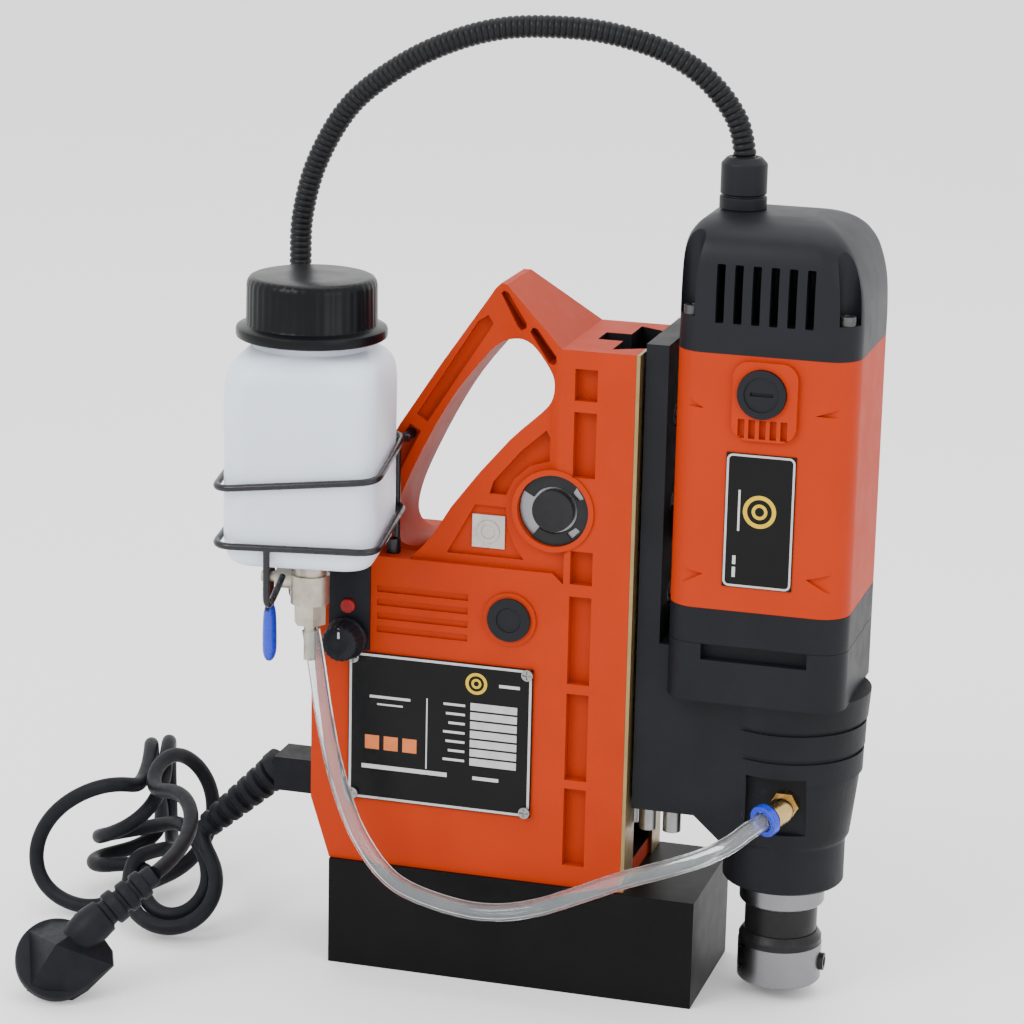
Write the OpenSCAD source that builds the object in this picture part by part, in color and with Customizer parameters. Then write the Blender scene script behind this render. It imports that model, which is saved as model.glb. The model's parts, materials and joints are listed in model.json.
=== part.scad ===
// Magnetic drill press: electromagnet base, stand casting, sliding motor and gearbox,
// side feed, coolant bottle with hose, conduit, mains lead and plug.
// Millimetres. Origin at the centre of the magnet's underside. +X runs from the stand
// to the drill, -Y is the side with the nameplate, +Z is up. The drill is at its lowest.

/* [Magnet] */
// Magnet length along X
magnet_length = 170; // [150:1:200]
// Magnet width along Y
magnet_width = 72; // [60:1:90]
// Magnet height
magnet_height = 50; // [40:1:60]

/* [Stand] */
// Width of the stand casting along Y
stand_width = 68; // [60:1:80]
// Height of the column top above the floor
column_top = 294; // [280:1:310]
// Height of the deck behind the handle
deck_top = 194; // [185:1:200]
// Width of the carrying handle along Y
grip_width = 36; // [28:1:44]

/* [Motor] */
// Side length of the square motor body
motor_side = 79; // [70:1:90]
// Corner radius of the motor body
motor_corner = 13; // [8:1:20]
// Motor axis, distance from the origin along X
motor_x = 107.3; // [100:0.1:112]

/* [Spindle] */
// Spindle axis, distance from the origin along X
spindle_x = 117.3; // [112:0.1:120]
// Bore of the arbor for a cutter shank
arbor_bore = 19.05; // [19.05:0.01:19.1]
// Outer diameter of the arbor
arbor_diameter = 37.6; // [34:0.1:40]

/* [Feed] */
// Module of the rack and pinion
feed_module = 1.5; // [1:0.5:2]
// Teeth on the feed pinion
feed_teeth = 18; // [18:1:18]
// Reach of a feed arm from the pinion axis
arm_reach = 62; // [50:1:64]

/* [Coolant] */
// Side length of the square bottle
bottle_side = 67; // [60:1:72]
// Turn of the bottle about its own upright axis, degrees
bottle_turn = 8; // [0:1:10]
// Outer diameter of the clear hose
hose_diameter = 8; // [6:0.5:9]

/* [Hidden] */
orange = [0.86, 0.29, 0.06];
black = [0.09, 0.09, 0.10];
steel = [0.72, 0.72, 0.73];
brass = [0.78, 0.62, 0.30];
hs = stand_width / 2;
hm = motor_side / 2;
feed_x = 15.7;
feed_z = 222.2;
feed_r = feed_module * feed_teeth / 2;
rack_x = feed_x + feed_r;
bottle_x = -86;
bottle_y = -61;
idler_x = motor_x - 22;
cap_top = 354.5;
cap_side = [[0, 326], [1, 338], [3.4, 345], [7.6, 349.5], [14, 352.4], [22, 354], [28, cap_top]];
hose_points = [[-85.5, -61, 165.5], [-83, -60, 149], [-80, -59, 127.5], [-76, -58, 106],
  [-70, -57, 85], [-63, -56, 69], [-53, -55, 55], [-41, -54.5, 47], [-20, -53.5, 41.5],
  [-1.5, -53, 41], [17, -53, 45.5], [37, -54, 54.5], [57, -55.5, 64.5], [79, -57.5, 74],
  [93, -58, 80.5], [104, -56, 87], [111, -52, 92.5], [115, -47.8, 95.1], [118.4, -42, 96.5]];
conduit_points = [[-109, 0, 186], [-111, 0, 215], [-112.5, 0, 250], [-113.5, 0, 285],
  [-113, 0, 315], [-112, 0, 338], [-105, 0, 363], [-90, 0, 388], [-68, 0, 406],
  [-45, 0, 418], [-22, 0, 425], [1, 0, 427], [23.5, 0, 426], [46, 0, 421],
  [63, 0, 413], [74.5, 0, 403.5], [83, 0, 392], [86.6, 0, 380], [87, 0, 372]];
lead_points = [[-157, -3, 45], [-163, -3.5, 38.5], [-170, -2, 31], [-178, 3, 25], [-186, 8, 22]];
tail_points = [[-148.8, -88.2, 53.2], [-147, -76, 54], [-147, -62, 55.5], [-148, -45, 59],
  [-153.5, -30, 63.5], [-164.5, -16, 65.5], [-176, -8, 61.5], [-186, 0, 53], [-192, 8, 44]];

// A box between two corners.
module blk(a, b) translate(a) cube(b - a);

// A profile drawn in X and Z, extruded from y0 to y1.
module xz(y0, y1) translate([0, y1, 0]) rotate([90, 0, 0]) linear_extrude(y1 - y0) children();

// An upright square column with round corners, centred on x, y.
module post(x, y, side, r, z0, z1) {
  h = side / 2;
  blk([x - h, y - h + r, z0], [x + h, y + h - r, z1]);
  blk([x - h + r, y - h, z0], [x + h - r, y + h, z1]);
  for (sx = [-1, 1], sy = [-1, 1]) translate([x + sx * (h - r), y + sy * (h - r), z0])
    cylinder(r = r, h = z1 - z0, $fn = 48);
}

// A cylinder on the Z axis through x, y.
module zcyl(x, y, r, z0, z1) translate([x, y, z0]) cylinder(r = r, h = z1 - z0, $fn = 64);

// A cylinder on the Y axis through x, z.
module ycyl(x, z, r, y0, y1) translate([x, y1, z]) rotate([90, 0, 0])
  cylinder(r = r, h = y1 - y0, $fn = 64);

// A cylinder on the X axis through y, z.
module xcyl(y, z, r, x0, x1) translate([x0, y, z]) rotate([0, 90, 0])
  cylinder(r = r, h = x1 - x0, $fn = 64);

// Involute teeth: half the angle of a tooth at radius r, then the whole outline.
function inv(a) = tan(a) * 180 / PI - a;
function half_tooth(n, m, r) = let (rb = n * m / 2 * cos(20))
  84.5 / n + (r > rb ? inv(20) - inv(acos(rb / r)) : 0.25);
function gear_outline(n, m, shift) = let (rp = n * m / 2,
    radii = [rp - 1.2 * m, rp - 0.6 * m, rp - 0.1 * m, rp + 0.4 * m, rp + 0.95 * m])
  [for (i = [0 : n - 1]) let (a = i * 360 / n + shift) each concat(
    [for (r = radii) let (h = a - half_tooth(n, m, r)) [r * cos(h), r * sin(h)]],
    [for (j = [4 : -1 : 0]) let (r = radii[j], h = a + half_tooth(n, m, r)) [r * cos(h), r * sin(h)]])];

// Sweep helpers for the cords: tangents, a carried frame and one closed tube.
function unit(v) = v / norm(v);
function smooth_line(p, k) = let (n = len(p))
  [for (i = [0 : n - 2], s = [0 : k - 1]) let (t = s / k, a = p[max(i - 1, 0)], b = p[i],
      c = p[i + 1], d = p[min(i + 2, n - 1)])
    0.5 * (2 * b + (c - a) * t + (2 * a - 5 * b + 4 * c - d) * t * t
      + (3 * b - a - 3 * c + d) * t * t * t), p[n - 1]];
function tangent(p, i) = unit(p[min(i + 1, len(p) - 1)] - p[max(i - 1, 0)]);
function side_of(t, s) = unit(s - (s * t) * t);
function frames(p, i, s) = i >= len(p) ? [] :
  let (t = tangent(p, i), u = side_of(t, s)) concat([[u, cross(t, u)]], frames(p, i + 1, u));
module tube(points, r, start, k) {
  p = k > 1 ? smooth_line(points, k) : points;
  n = 10;
  f = frames(p, 0, start);
  m = len(p);
  pts = [for (i = [0 : m - 1], j = [0 : n - 1])
    p[i] + r * (cos(j * 36) * f[i][0] + sin(j * 36) * f[i][1])];
  sides = [for (i = [0 : m - 2], j = [0 : n - 1]) each
    [[i * n + j, (i + 1) * n + j, i * n + (j + 1) % n],
     [i * n + (j + 1) % n, (i + 1) * n + j, (i + 1) * n + (j + 1) % n]]];
  ends = [[for (j = [0 : n - 1]) j], [for (j = [n - 1 : -1 : 0]) (m - 1) * n + j]];
  polyhedron(points = pts, faces = concat(sides, ends));
}

// ---------------------------------------------------------------- magnet
module magnet_body() color(black) difference() {
  blk([-magnet_length / 2, -magnet_width / 2, 0], [magnet_length / 2, magnet_width / 2, magnet_height]);
  difference() {
    blk([-75, -28, -1], [75, 28, 30]);
    blk([-59, -12, -2], [59, 12, 31]);
  }
  for (x = [-72, 2], y = [-20, 20]) zcyl(x, y, 4.1, 34, 51);
  zcyl(-50, 20, 4, 29, 51);
}
module magnet_coils() color([0.62, 0.30, 0.14]) difference() {
  blk([-74, -27, 6], [74, 27, 29]);
  blk([-60, -13, 5], [60, 13, 30]);
}
module magnet_potting() color([0.13, 0.12, 0.11]) difference() {
  blk([-75, -28, 0.3], [75, 28, 6]);
  blk([-59, -12, 0], [59, 12, 7]);
}
module magnet_bolts() color(steel) for (x = [-72, 2], y = [-20, 20]) difference() {
  union() {
    zcyl(x, y, 4, 36, 60);
    zcyl(x, y, 6.5, 60, 68);
  }
  translate([x, y, 64]) cylinder(r = 3.4, h = 5, $fn = 6);
}

// ---------------------------------------------------------------- stand casting
module channel(back, half_back, half_mouth, front) polygon([[back, -half_back],
  [front, -half_mouth], [front + 6, -half_mouth], [front + 6, half_mouth], [front, half_mouth],
  [back, half_back]]);
module main_housing() color(orange) difference() {
  union() {
    xz(-hs, hs) polygon([[-85.5, magnet_height], [-94.5, 78], [-94.5, 189], [-90, deck_top],
      [16, deck_top], [21, 189.5], [21, magnet_height]]);
    xz(-hs, hs) polygon([[21, magnet_height], [50.7, magnet_height], [50.7, column_top],
      [21, column_top]]);
    xz(-31, 31) polygon([[-52, deck_top - 2], [-44, 200], [-38, 208], [-31.5, 218.8],
      [-18.6, 235.8], [-5.3, 251.4], [9.7, 266], [22, 276], [22, 190], [0, 180]]);
    intersection() {
      xz(-hs, hs) polygon([[-84, deck_top - 2], [-83, 204], [-76, 221], [-59.7, 250.8],
        [-41.2, 279.4], [-19.6, 311], [-17, 315], [-14.6, 317.4], [-11.6, 317.2],
        [17.8, column_top], [22, column_top], [22, 240], [-20, deck_top - 2]]);
      translate([0, 0, 180]) linear_extrude(150) polygon([[-100, -grip_width / 2],
        [-14, -grip_width / 2], [17.8, -hs], [30, -hs], [30, hs], [17.8, hs],
        [-14, grip_width / 2], [-100, grip_width / 2]]);
    }
    ycyl(feed_x, feed_z, 18.4, -35, 35);
    ycyl(-2.6, 171.4, 12, -35.2, 0);
  }
  xz(-50, 50) polygon(smooth_line([[-19, 287], [-14.5, 291], [-9, 293.6], [-2, 294.6],
    [4.5, 291.8], [12, 284], [14.4, 278.5], [13.6, 271.5], [9, 265], [-6.5, 250.5], [-19.5, 235],
    [-32.5, 218], [-39, 207.5], [-44, 200.5], [-50, 196.2], [-57, 196.5], [-61.2, 201.5],
    [-61, 210], [-56.5, 224], [-44.4, 249.5], [-32.3, 270], [-19, 287]], 3));
  for (s = [-1, 1]) {
    // column pockets
    for (z = [[60, 96], [100, 140], [144.5, 184.5], [190, 205], [238, 267], [272, 286]])
      blk([24, min(s * (hs - 5), s * (hs + 1)), z[0]], [34, max(s * (hs - 5), s * (hs + 1)), z[1]]);
    // recess of the web beside the boss
    xz(min(s * 27, s * 32), max(s * 27, s * 32)) polygon([[-14, 226.5], [-12.5, 232], [0, 247],
      [11, 257], [13, 254], [13, 243.5], [4, 240.5], [-3, 234], [-6.5, 226.5]]);
    // recess for the badge, under a cross rib
    xz(min(s * 29, s * 32), max(s * 29, s * 32)) polygon([[-33, 198], [-20.5, 221], [-6.5, 221],
      [-5.5, 212], [-2, 203.5], [2, 198]]);
    // grooves along the grip and in its top bar
    xz(min(s * 14.5, s * 30), max(s * 14.5, s * 30)) polygon([[-24.5, 300], [-20, 303], [-17.6, 299.5],
      [-19.5, 296], [-47, 253], [-52, 256]]);
    xz(min(s * 14.5, s * 30), max(s * 14.5, s * 30)) polygon([[-55, 251.5], [-50, 248.5], [-62, 224],
      [-68, 227]]);
    xz(min(s * 14, s * 36), max(s * 14, s * 36)) polygon([[-14.4, 313], [-13, 314.4], [-10.6, 313.8],
      [-0.8, 302], [-0.9, 299.8], [-3.4, 298.4], [-5.4, 299.8]]);
    xz(min(s * 19, s * 36), max(s * 19, s * 36)) polygon([[1.2, 298.6], [2.4, 300.8], [4.8, 300.6],
      [15, 290.2], [15.2, 287.4], [13.4, 286.2], [11.2, 286.8]]);
    // ribs beside the access plug, cut as shallow grooves
    for (i = [0 : 3]) blk([-64, min(s * (hs - 1.2), s * (hs + 1)), 159 + i * 6.2],
      [-22, max(s * (hs - 1.2), s * (hs + 1)), 162 + i * 6.2]);
  }
  // inside of the lower block, open under the nameplate
  blk([-86, -28, 60], [12, 28, 186]);
  blk([-72, -40, 85], [4, -20, 145]);
  for (x = [-72, 2], y = [-20, 20]) zcyl(x, y, 4.5, 49, 61);
  zcyl(-50, 20, 4, 49, 61);
  for (x = [-74, 6.5], z = [83, 147]) ycyl(x, z, 1.3, -35, -28);
  // control panel window, access hole, lead and conduit entries
  blk([-84, -40, 152], [-69, -20, 188]);
  ycyl(-2.6, 171.4, 9, -40, -20);
  xcyl(0, 78, 6, -100, -80);
  xcyl(0, 165, 6, -100, -80);
  // slideway, rack clearance and pinion bore
  translate([0, 0, magnet_height + 8]) linear_extrude(250) channel(38, 26, 18, 52.5);
  blk([26.7, -7.6, 60], [39, 7.6, 300]);
  ycyl(feed_x, feed_z, 16, -36, 36);
}
module gib_strips() color(brass) difference() {
  blk([50.7, -hs, magnet_height], [52.5, hs, column_top]);
  translate([0, 0, magnet_height - 1]) linear_extrude(250) channel(38, 26, 18, 52.5);
}
module nameplate() color(black) difference() {
  blk([-76.5, -hs - 1.2, 80.5], [8.8, -hs, 149.3]);
  for (x = [-74, 6.5], z = [83, 147]) ycyl(x, z, 1.3, -37, -33);
}
module nameplate_screws() color(steel) for (x = [-74, 6.5], z = [83, 147]) difference() {
  union() {
    ycyl(x, z, 1.25, -hs - 1.2, -29);
    ycyl(x, z, 2.6, -hs - 2.9, -hs - 1.2);
  }
  blk([x - 2, -hs - 3.5, z - 0.35], [x + 2, -hs - 2.1, z + 0.35]);
  blk([x - 0.35, -hs - 3.5, z - 2], [x + 0.35, -hs - 2.1, z + 2]);
}
module control_panel() color(black) difference() {
  union() {
    blk([-86, -hs - 1.6, 150.4], [-67, -hs, 190]);
    blk([-83.9, -hs, 152.1], [-69.1, -hs + 9, 187.9]);
  }
  ycyl(-76.8, 170.4, 3.26, -40, -20);
  ycyl(-76.8, 170.4, 5.4, -30.5, -20);
  ycyl(-77, 156, 3.06, -40, -20);
}
module control_board() color([0.10, 0.34, 0.16]) {
  difference() {
    blk([-84, -22, 95], [-82.4, 22, 180]);
    for (y = [-18, 18], z = [100, 175]) xcyl(y, z, 1.6, -85, -82);
  }
  blk([-82.4, -15, 105], [-66, 0, 125]);
  blk([-82.4, 4, 110], [-60, 16, 135]);
  for (y = [-12, 0, 12]) xcyl(y, 160, 5, -82.4, -66);
  for (y = [-20, 20], z = [98, 177]) xcyl(y, z, 1.6, -86, -84);
}
module badge_plate() color([0.80, 0.78, 0.75]) {
  blk([-22, -30, 201.5], [-7, -29, 216.5]);
  difference() {
    ycyl(-14.5, 209, 5.2, -30.7, -30);
    ycyl(-14.5, 209, 3.2, -31, -29.5);
  }
}
module access_plug() color(black) difference() {
  union() {
    ycyl(-2.6, 171.4, 8.9, -35.4, -27);
    ycyl(-2.6, 171.4, 9.8, -37, -35.3);
  }
  ycyl(-2.6, 171.4, 5.5, -38, -36);
}
module pinion_bushes() color(steel) {
  difference() {
    ycyl(feed_x, feed_z, 16, -31.5, -18);
    ycyl(feed_x, feed_z, 8.05, -32, -17);
  }
  difference() {
    ycyl(feed_x, feed_z, 16, 18, 33);
    ycyl(feed_x, feed_z, 8.05, 17, 34);
  }
}
module pinion_circlip() color(black) difference() {
  ycyl(feed_x, feed_z, 15.9, -33, -31.5);
  ycyl(feed_x, feed_z, 10.4, -34, -31);
  // open end, and the two windows for the pliers
  translate([feed_x, 0, feed_z]) xz(-34, -31) {
    polygon([[0, 0], [-16, 9], [-18, 0], [-11, -14]]);
    polygon([[8, 8], [11, 5], [13.4, 6], [10, 11]]);
    polygon([[6, -10], [10, -7], [12, -8.5], [8, -12.4]]);
  }
}

// ---------------------------------------------------------------- feed
module pinion_shaft() color([0.16, 0.16, 0.17]) {
  ycyl(feed_x, feed_z, 8, -32, 60);
  ycyl(feed_x, feed_z, 9.3, -35.2, -32);
  translate([feed_x, 8, feed_z]) rotate([90, 0, 0]) linear_extrude(16)
    polygon(gear_outline(feed_teeth, feed_module, 0));
}
module arm_at(a) translate([feed_x, 0, feed_z]) rotate([0, -a, 0]) children();
module capstan_hub() color(black) difference() {
  union() {
    ycyl(feed_x, feed_z, 21, 45, 62);
    ycyl(feed_x, feed_z, 15, 36, 45);
  }
  ycyl(feed_x, feed_z, 8, 35, 60);
  for (a = [95, 215, 335]) arm_at(a) xcyl(54, 0, 4, 12, 22);
}
module feed_arms() color(steel) for (a = [95, 215, 335]) arm_at(a) xcyl(54, 0, 4, 12, 48);
module arm_knobs() color(black) for (a = [95, 215, 335]) arm_at(a) translate([0, 54, 0])
  rotate([0, 90, 0]) rotate_extrude($fn = 48) polygon([[0, 48], [5.5, 48], [7, 50], [7.8, 55],
    [7.6, arm_reach - 2], [6.4, arm_reach], [0, arm_reach + 1]]);

// ---------------------------------------------------------------- carriage
module slide_bar() color(steel) difference() {
  translate([0, 0, 78]) linear_extrude(202) polygon([[38.2, -25.7], [52.5, -17.8], [54, -17.8],
    [54, 17.8], [52.5, 17.8], [38.2, 25.7]]);
  blk([48, -6, 70], [55, 6, 290]);
  for (y = [-12, 12], z = [185, 225, 265]) xcyl(y, z, 3.05, 44, 55);
}
module rack() color([0.62, 0.62, 0.64]) {
  blk([rack_x + 1.8, -7, 92], [38.2, 7, 272]);
  xz(-7, 7) polygon([for (i = [-27 : 9]) let (z = feed_z + (i + 0.5) * PI * feed_module) each
    [[rack_x + 1.8, z - 1.75], [rack_x, z - 1.08], [rack_x - 1.35, z - 0.55],
     [rack_x - 1.35, z + 0.55], [rack_x, z + 1.08], [rack_x + 1.8, z + 1.75]],
    [rack_x + 2.4, feed_z + 46.7], [rack_x + 2.4, feed_z - 126.7]]);
}
module carriage_plate() color(black) difference() {
  blk([54, -30, 89], [64, 30, 298.5]);
  for (y = [-12, 12], z = [185, 225, 265]) {
    xcyl(y, z, 3.3, 53, 65);
    xcyl(y, z, 5.6, 57.8, 65);
  }
  for (y = [-17, 17]) zcyl(58.5, y, 3.05, 88, 106);
}
module carriage_screws() color(steel) {
  for (y = [-12, 12], z = [185, 225, 265]) difference() {
    union() {
      xcyl(y, z, 3, 45, 58);
      xcyl(y, z, 5, 57.8, 63.6);
    }
    translate([61, y, z]) rotate([0, 90, 0]) cylinder(r = 2.9, h = 4, $fn = 6);
  }
  for (x = [58.5, 69.5], y = [-17, 17]) difference() {
    union() {
      zcyl(x, y, 3, 88, 105);
      zcyl(x, y, 4.1, 76, 89);
    }
    translate([x, y, 75]) cylinder(r = 2.4, h = 4, $fn = 6);
  }
}
module round_body(pts) translate([spindle_x, 0, 0]) rotate_extrude($fn = 96) polygon(pts);
module gearbox_housing() color(black) difference() {
  union() {
    post(motor_x, 0, motor_side, motor_corner, 145, 171);
    round_body([[0, 55], [26.2, 55], [27, 56], [27, 75], [28.6, 78], [29.4, 84], [31.7, 104],
      [31.7, 108], [33.2, 108], [33.4, 118], [32.4, 118], [32.5, 120], [33.7, 120], [34, 131],
      [33, 131], [33.2, 133], [34.5, 133], [35.4, 145], [0, 145]]);
    xz(-30, 30) polygon([[64, 89], [82, 89], [95, 77.5], [100, 77.5], [112, 100], [112, 146],
      [80, 166], [64, 166]]);
  }
  // slot under the motor collar
  for (s = [-1, 1]) blk([84.5, min(s * 34, s * 41), 164], [131, max(s * 34, s * 41), 171.5]);
  // nozzle window
  difference() {
    blk([105, -45, 84], [131.5, -25.5, 111]);
    blk([100, -46, 80], [104, -20, 115]);
  }
  // spindle bearing seat, gear chambers, idler bores
  zcyl(spindle_x, 0, 21, 50, 74);
  zcyl(spindle_x, 0, 17, 73, 115);
  zcyl(spindle_x, 0, 27.5, 114, 134);
  zcyl(idler_x, 0, 9.5, 114, 145);
  zcyl(spindle_x, 0, 14, 133, 142.2);
  zcyl(spindle_x, 0, 9, 133, 146);
  zcyl(idler_x, 0, 18.5, 143.5, 172);
  zcyl(motor_x, 0, 9, 143.5, 172);
  zcyl(idler_x, 0, 4.05, 104, 115);
  ycyl(122, 98, 4, -40, -20);
  for (y = [-17, 17]) zcyl(69.5, y, 3.05, 88, 106);
}
module gearbox_cover() color([0.07, 0.07, 0.08]) difference() {
  post(motor_x, 0, motor_side, motor_corner, 171, 187);
  zcyl(idler_x, 0, 4.05, 170, 174);
  zcyl(motor_x, 0, 6, 170, 181);
  zcyl(motor_x, 0, 11, 180, 188);
}
module motor_housing() color(orange) difference() {
  post(motor_x, 0, motor_side, motor_corner, 187, 299);
  zcyl(motor_x, 0, 35.5, 186, 292);
  zcyl(motor_x, 0, 11, 291, 300);
  for (a = [45 : 90 : 315]) zcyl(motor_x + 23 * cos(a), 23 * sin(a), 7, 291, 300);
  ycyl(motor_x, 283.4, 8, -50, 50);
  for (x = [motor_x - 33, motor_x + 33], y = [-33, 33]) zcyl(x, y, 2, 280, 300);
  // shallow triangular dents at the corners of both broad sides
  for (s = [-1, 1]) xz(min(s * 38, s * 41), max(s * 38, s * 41)) {
    polygon([[66, 282], [74, 279.5], [82, 275], [66, 276]]);
    polygon([[66, 205], [76, 204], [84, 202.4], [76, 198], [66, 196]]);
    polygon([[148, 281], [139, 278.5], [130, 275.4], [148, 275]]);
    polygon([[148, 209], [138, 206.5], [129, 204], [138, 199], [148, 197]]);
  }
}
module cap_shell(d, z0, top) intersection() {
  post(motor_x, 0, motor_side - 2 * d, motor_corner - d, z0, top);
  xz(-hm, hm) polygon([[motor_x - hm + d, z0], [motor_x + hm - d, z0], [motor_x + hm - d, 320 - d],
    [motor_x + hm - 2 - d, 332 - d], [motor_x + hm - 6 - d, 342 - d], [motor_x + hm - 12 - d, top - 4.5],
    [motor_x + hm - 20 - d, top - 1], [motor_x + hm - 27 - d, top], [motor_x - hm + 11 + d, top],
    [motor_x - hm + 5.5 + d, top - 2.5], [motor_x - hm + 1.5 + d, top - 9], [motor_x - hm + d, 334 - d]]);
  translate([motor_x - hm, 0, 0]) rotate([90, 0, 90]) linear_extrude(2 * hm)
    polygon([[-hm + d, z0], [hm - d, z0], for (a = cap_side) [hm - d - a[0], a[1] - d],
      for (i = [len(cap_side) - 1 : -1 : 0]) [d - hm + cap_side[i][0], cap_side[i][1] - d]]);
}
module motor_cap() color(black) {
  difference() {
    cap_shell(0, 299, cap_top);
    difference() {
      cap_shell(3, 298, cap_top - 3.5);
      zcyl(87, 0, 12, 340, 352);
      for (x = [motor_x - 34, motor_x + 34], y = [-34, 34]) zcyl(x, y, 8, 297, 352);
      // wall across the middle that keeps the air of the two sides apart
      blk([motor_x - 38, -1.5, 300], [motor_x + 38, 1.5, 352]);
    }
    zcyl(87, 0, 6.05, 330, 358);
    for (s = [-1, 1], i = [0 : 5])
      blk([motor_x - 21.9 + i * 7.7, min(s * 28, s * 41), 312], [motor_x - 18.3 + i * 7.7,
        max(s * 28, s * 41), 337]);
    for (x = [motor_x - 34, motor_x + 34], y = [-34, 34]) zcyl(x, y, 5.6, 314, 360);
    for (x = [motor_x - 33, motor_x + 33], y = [-33, 33]) zcyl(x, y, 2.2, 298, 330);
  }
}
module cap_screws() color([0.55, 0.55, 0.57])
  for (x = [motor_x - 33, motor_x + 33], y = [-33, 33]) difference() {
    union() {
      zcyl(x, y, 1.95, 284, 314);
      zcyl(x, y, 3.8, 314, 318);
    }
    translate([x, y, 316]) cylinder(r = 1.9, h = 3, $fn = 6);
  }
module stator_core() color([0.45, 0.45, 0.47]) {
  difference() {
    zcyl(motor_x, 0, 35.5, 207, 255);
    zcyl(motor_x, 0, 23, 206, 256);
  }
  for (z = [[201, 207], [255, 262]]) difference() {
    zcyl(motor_x, 0, 32, z[0], z[1]);
    zcyl(motor_x, 0, 24, z[0] - 1, z[1] + 1);
  }
}
module brush_bezels() color(orange) for (s = [-1, 1]) difference() {
  xz(min(s * hm, s * (hm + 2.4)), max(s * hm, s * (hm + 2.4))) union() {
    translate([94.5, 270]) square([28, 20]);
    translate([101.5, 263]) square([14, 34]);
    for (x = [101.5, 115.5], z = [270, 290]) translate([x, z]) circle(r = 7, $fn = 48);
  }
  ycyl(motor_x, 283.4, 10.6, -45, 45);
  for (i = [-2 : 2]) blk([108 + i * 4.6 - 1.4, -50, 264], [108 + i * 4.6 + 1.4, 50, 272.2]);
}
module brush_caps() color(black) for (s = [-1, 1]) difference() {
  union() {
    ycyl(motor_x, 283.4, 10.5, min(s * hm, s * (hm + 4.2)), max(s * hm, s * (hm + 4.2)));
    ycyl(motor_x, 283.4, 7.9, min(s * 16, s * hm), max(s * 16, s * hm));
  }
  ycyl(motor_x, 283.4, 7.6, min(s * (hm + 3.4), s * (hm + 5)), max(s * (hm + 3.4), s * (hm + 5)));
  blk([motor_x - 5, min(s * (hm + 2.2), s * (hm + 5)), 282.6], [motor_x + 5,
    max(s * (hm + 2.2), s * (hm + 5)), 284.2]);
}
module motor_label() color(black) blk([92.7, -hm - 0.7, 198], [123, -hm, 257]);
module conduit_gland() color(black) {
  translate([87, 0, cap_top]) difference() {
    union() {
      cylinder(r = 10.2, h = 5.4, $fn = 64);
      cylinder(r = 9, h = 8, $fn = 64);
      translate([0, 0, 6.4]) cylinder(r = 10, h = 13, $fn = 64);
      translate([0, 0, 19.4]) cylinder(r1 = 10, r2 = 7.4, h = 2.8, $fn = 64);
      translate([0, 0, -14]) cylinder(r = 6, h = 14, $fn = 64);
    }
    translate([0, 0, -15]) cylinder(r = 4, h = 31, $fn = 48);
    translate([0, 0, 14.5]) cylinder(r = 5.4, h = 12, $fn = 48);
  }
}
module aim_nozzle() translate([122, -36, 98]) rotate([0, 0, -30.8]) rotate([102.1, 0, 0]) children();
module nozzle_fitting() color(brass) {
  ycyl(122, 98, 3.9, -36, -21);
  translate([122, -25.5, 98]) rotate([90, 0, 0]) cylinder(r = 6.6, h = 4.5, $fn = 6);
  ycyl(122, 98, 4.8, -36, -29);
  translate([122, -36, 98]) sphere(r = 5.6, $fn = 32);
  aim_nozzle() difference() {
    cylinder(r = 5.8, h = 6.5, $fn = 48);
    translate([0, 0, 4.5]) cylinder(r = 4.5, h = 5, $fn = 48);
  }
}
module push_fit_collar() color([0.12, 0.30, 0.80]) aim_nozzle() difference() {
  union() {
    translate([0, 0, 6.5]) cylinder(r = 5.6, h = 2, $fn = 48);
    translate([0, 0, 8]) cylinder(r = 7.2, h = 3.8, $fn = 48);
  }
  translate([0, 0, 6]) cylinder(r = 4.5, h = 8, $fn = 48);
}
module ring(x, z0, z1, outer, inner) difference() {
  zcyl(x, 0, outer, z0, z1);
  zcyl(x, 0, inner, z0 - 1, z1 + 1);
}
module ball_bearings() color([0.78, 0.78, 0.80]) {
  ring(motor_x, 180, 187, 11, 4.05);
  ring(motor_x, 292, 299, 11, 4.05);
  ring(spindle_x, 60, 74, 21, 15.05);
  ring(spindle_x, 134.2, 142.2, 14, 8.05);
}

// ---------------------------------------------------------------- turning parts
module armature_shaft() color(steel) {
  zcyl(motor_x, 0, 4, 144.5, 298.5);
  zcyl(motor_x, 0, 5, 187.5, 291.5);
  translate([motor_x, 0, 145]) linear_extrude(12) polygon(gear_outline(12, 1, 0));
}
module armature_core() color([0.58, 0.40, 0.25]) {
  ring(motor_x, 208, 254, 22, 5);
  ring(motor_x, 254, 264, 17, 5);
  ring(motor_x, 272, 290, 12.5, 5);
  // fan at the gearbox end
  ring(motor_x, 189, 208, 9, 5);
  ring(motor_x, 189, 191, 30, 5);
  for (i = [0 : 10]) translate([motor_x, 0, 190]) rotate([0, 0, i * 360 / 11])
    translate([8, -0.8, 0]) cube([21, 1.6, 8]);
}
module intermediate_gear() color(steel) {
  zcyl(idler_x, 0, 4, 105, 173);
  translate([idler_x, 0, 117]) linear_extrude(16) polygon(gear_outline(14, 1, 0));
  zcyl(idler_x, 0, 5, 133, 146);
  translate([idler_x, 0, 146]) linear_extrude(9) polygon(gear_outline(32, 1, 360 / 64));
  zcyl(idler_x, 0, 8, 155, 164);
}
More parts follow.
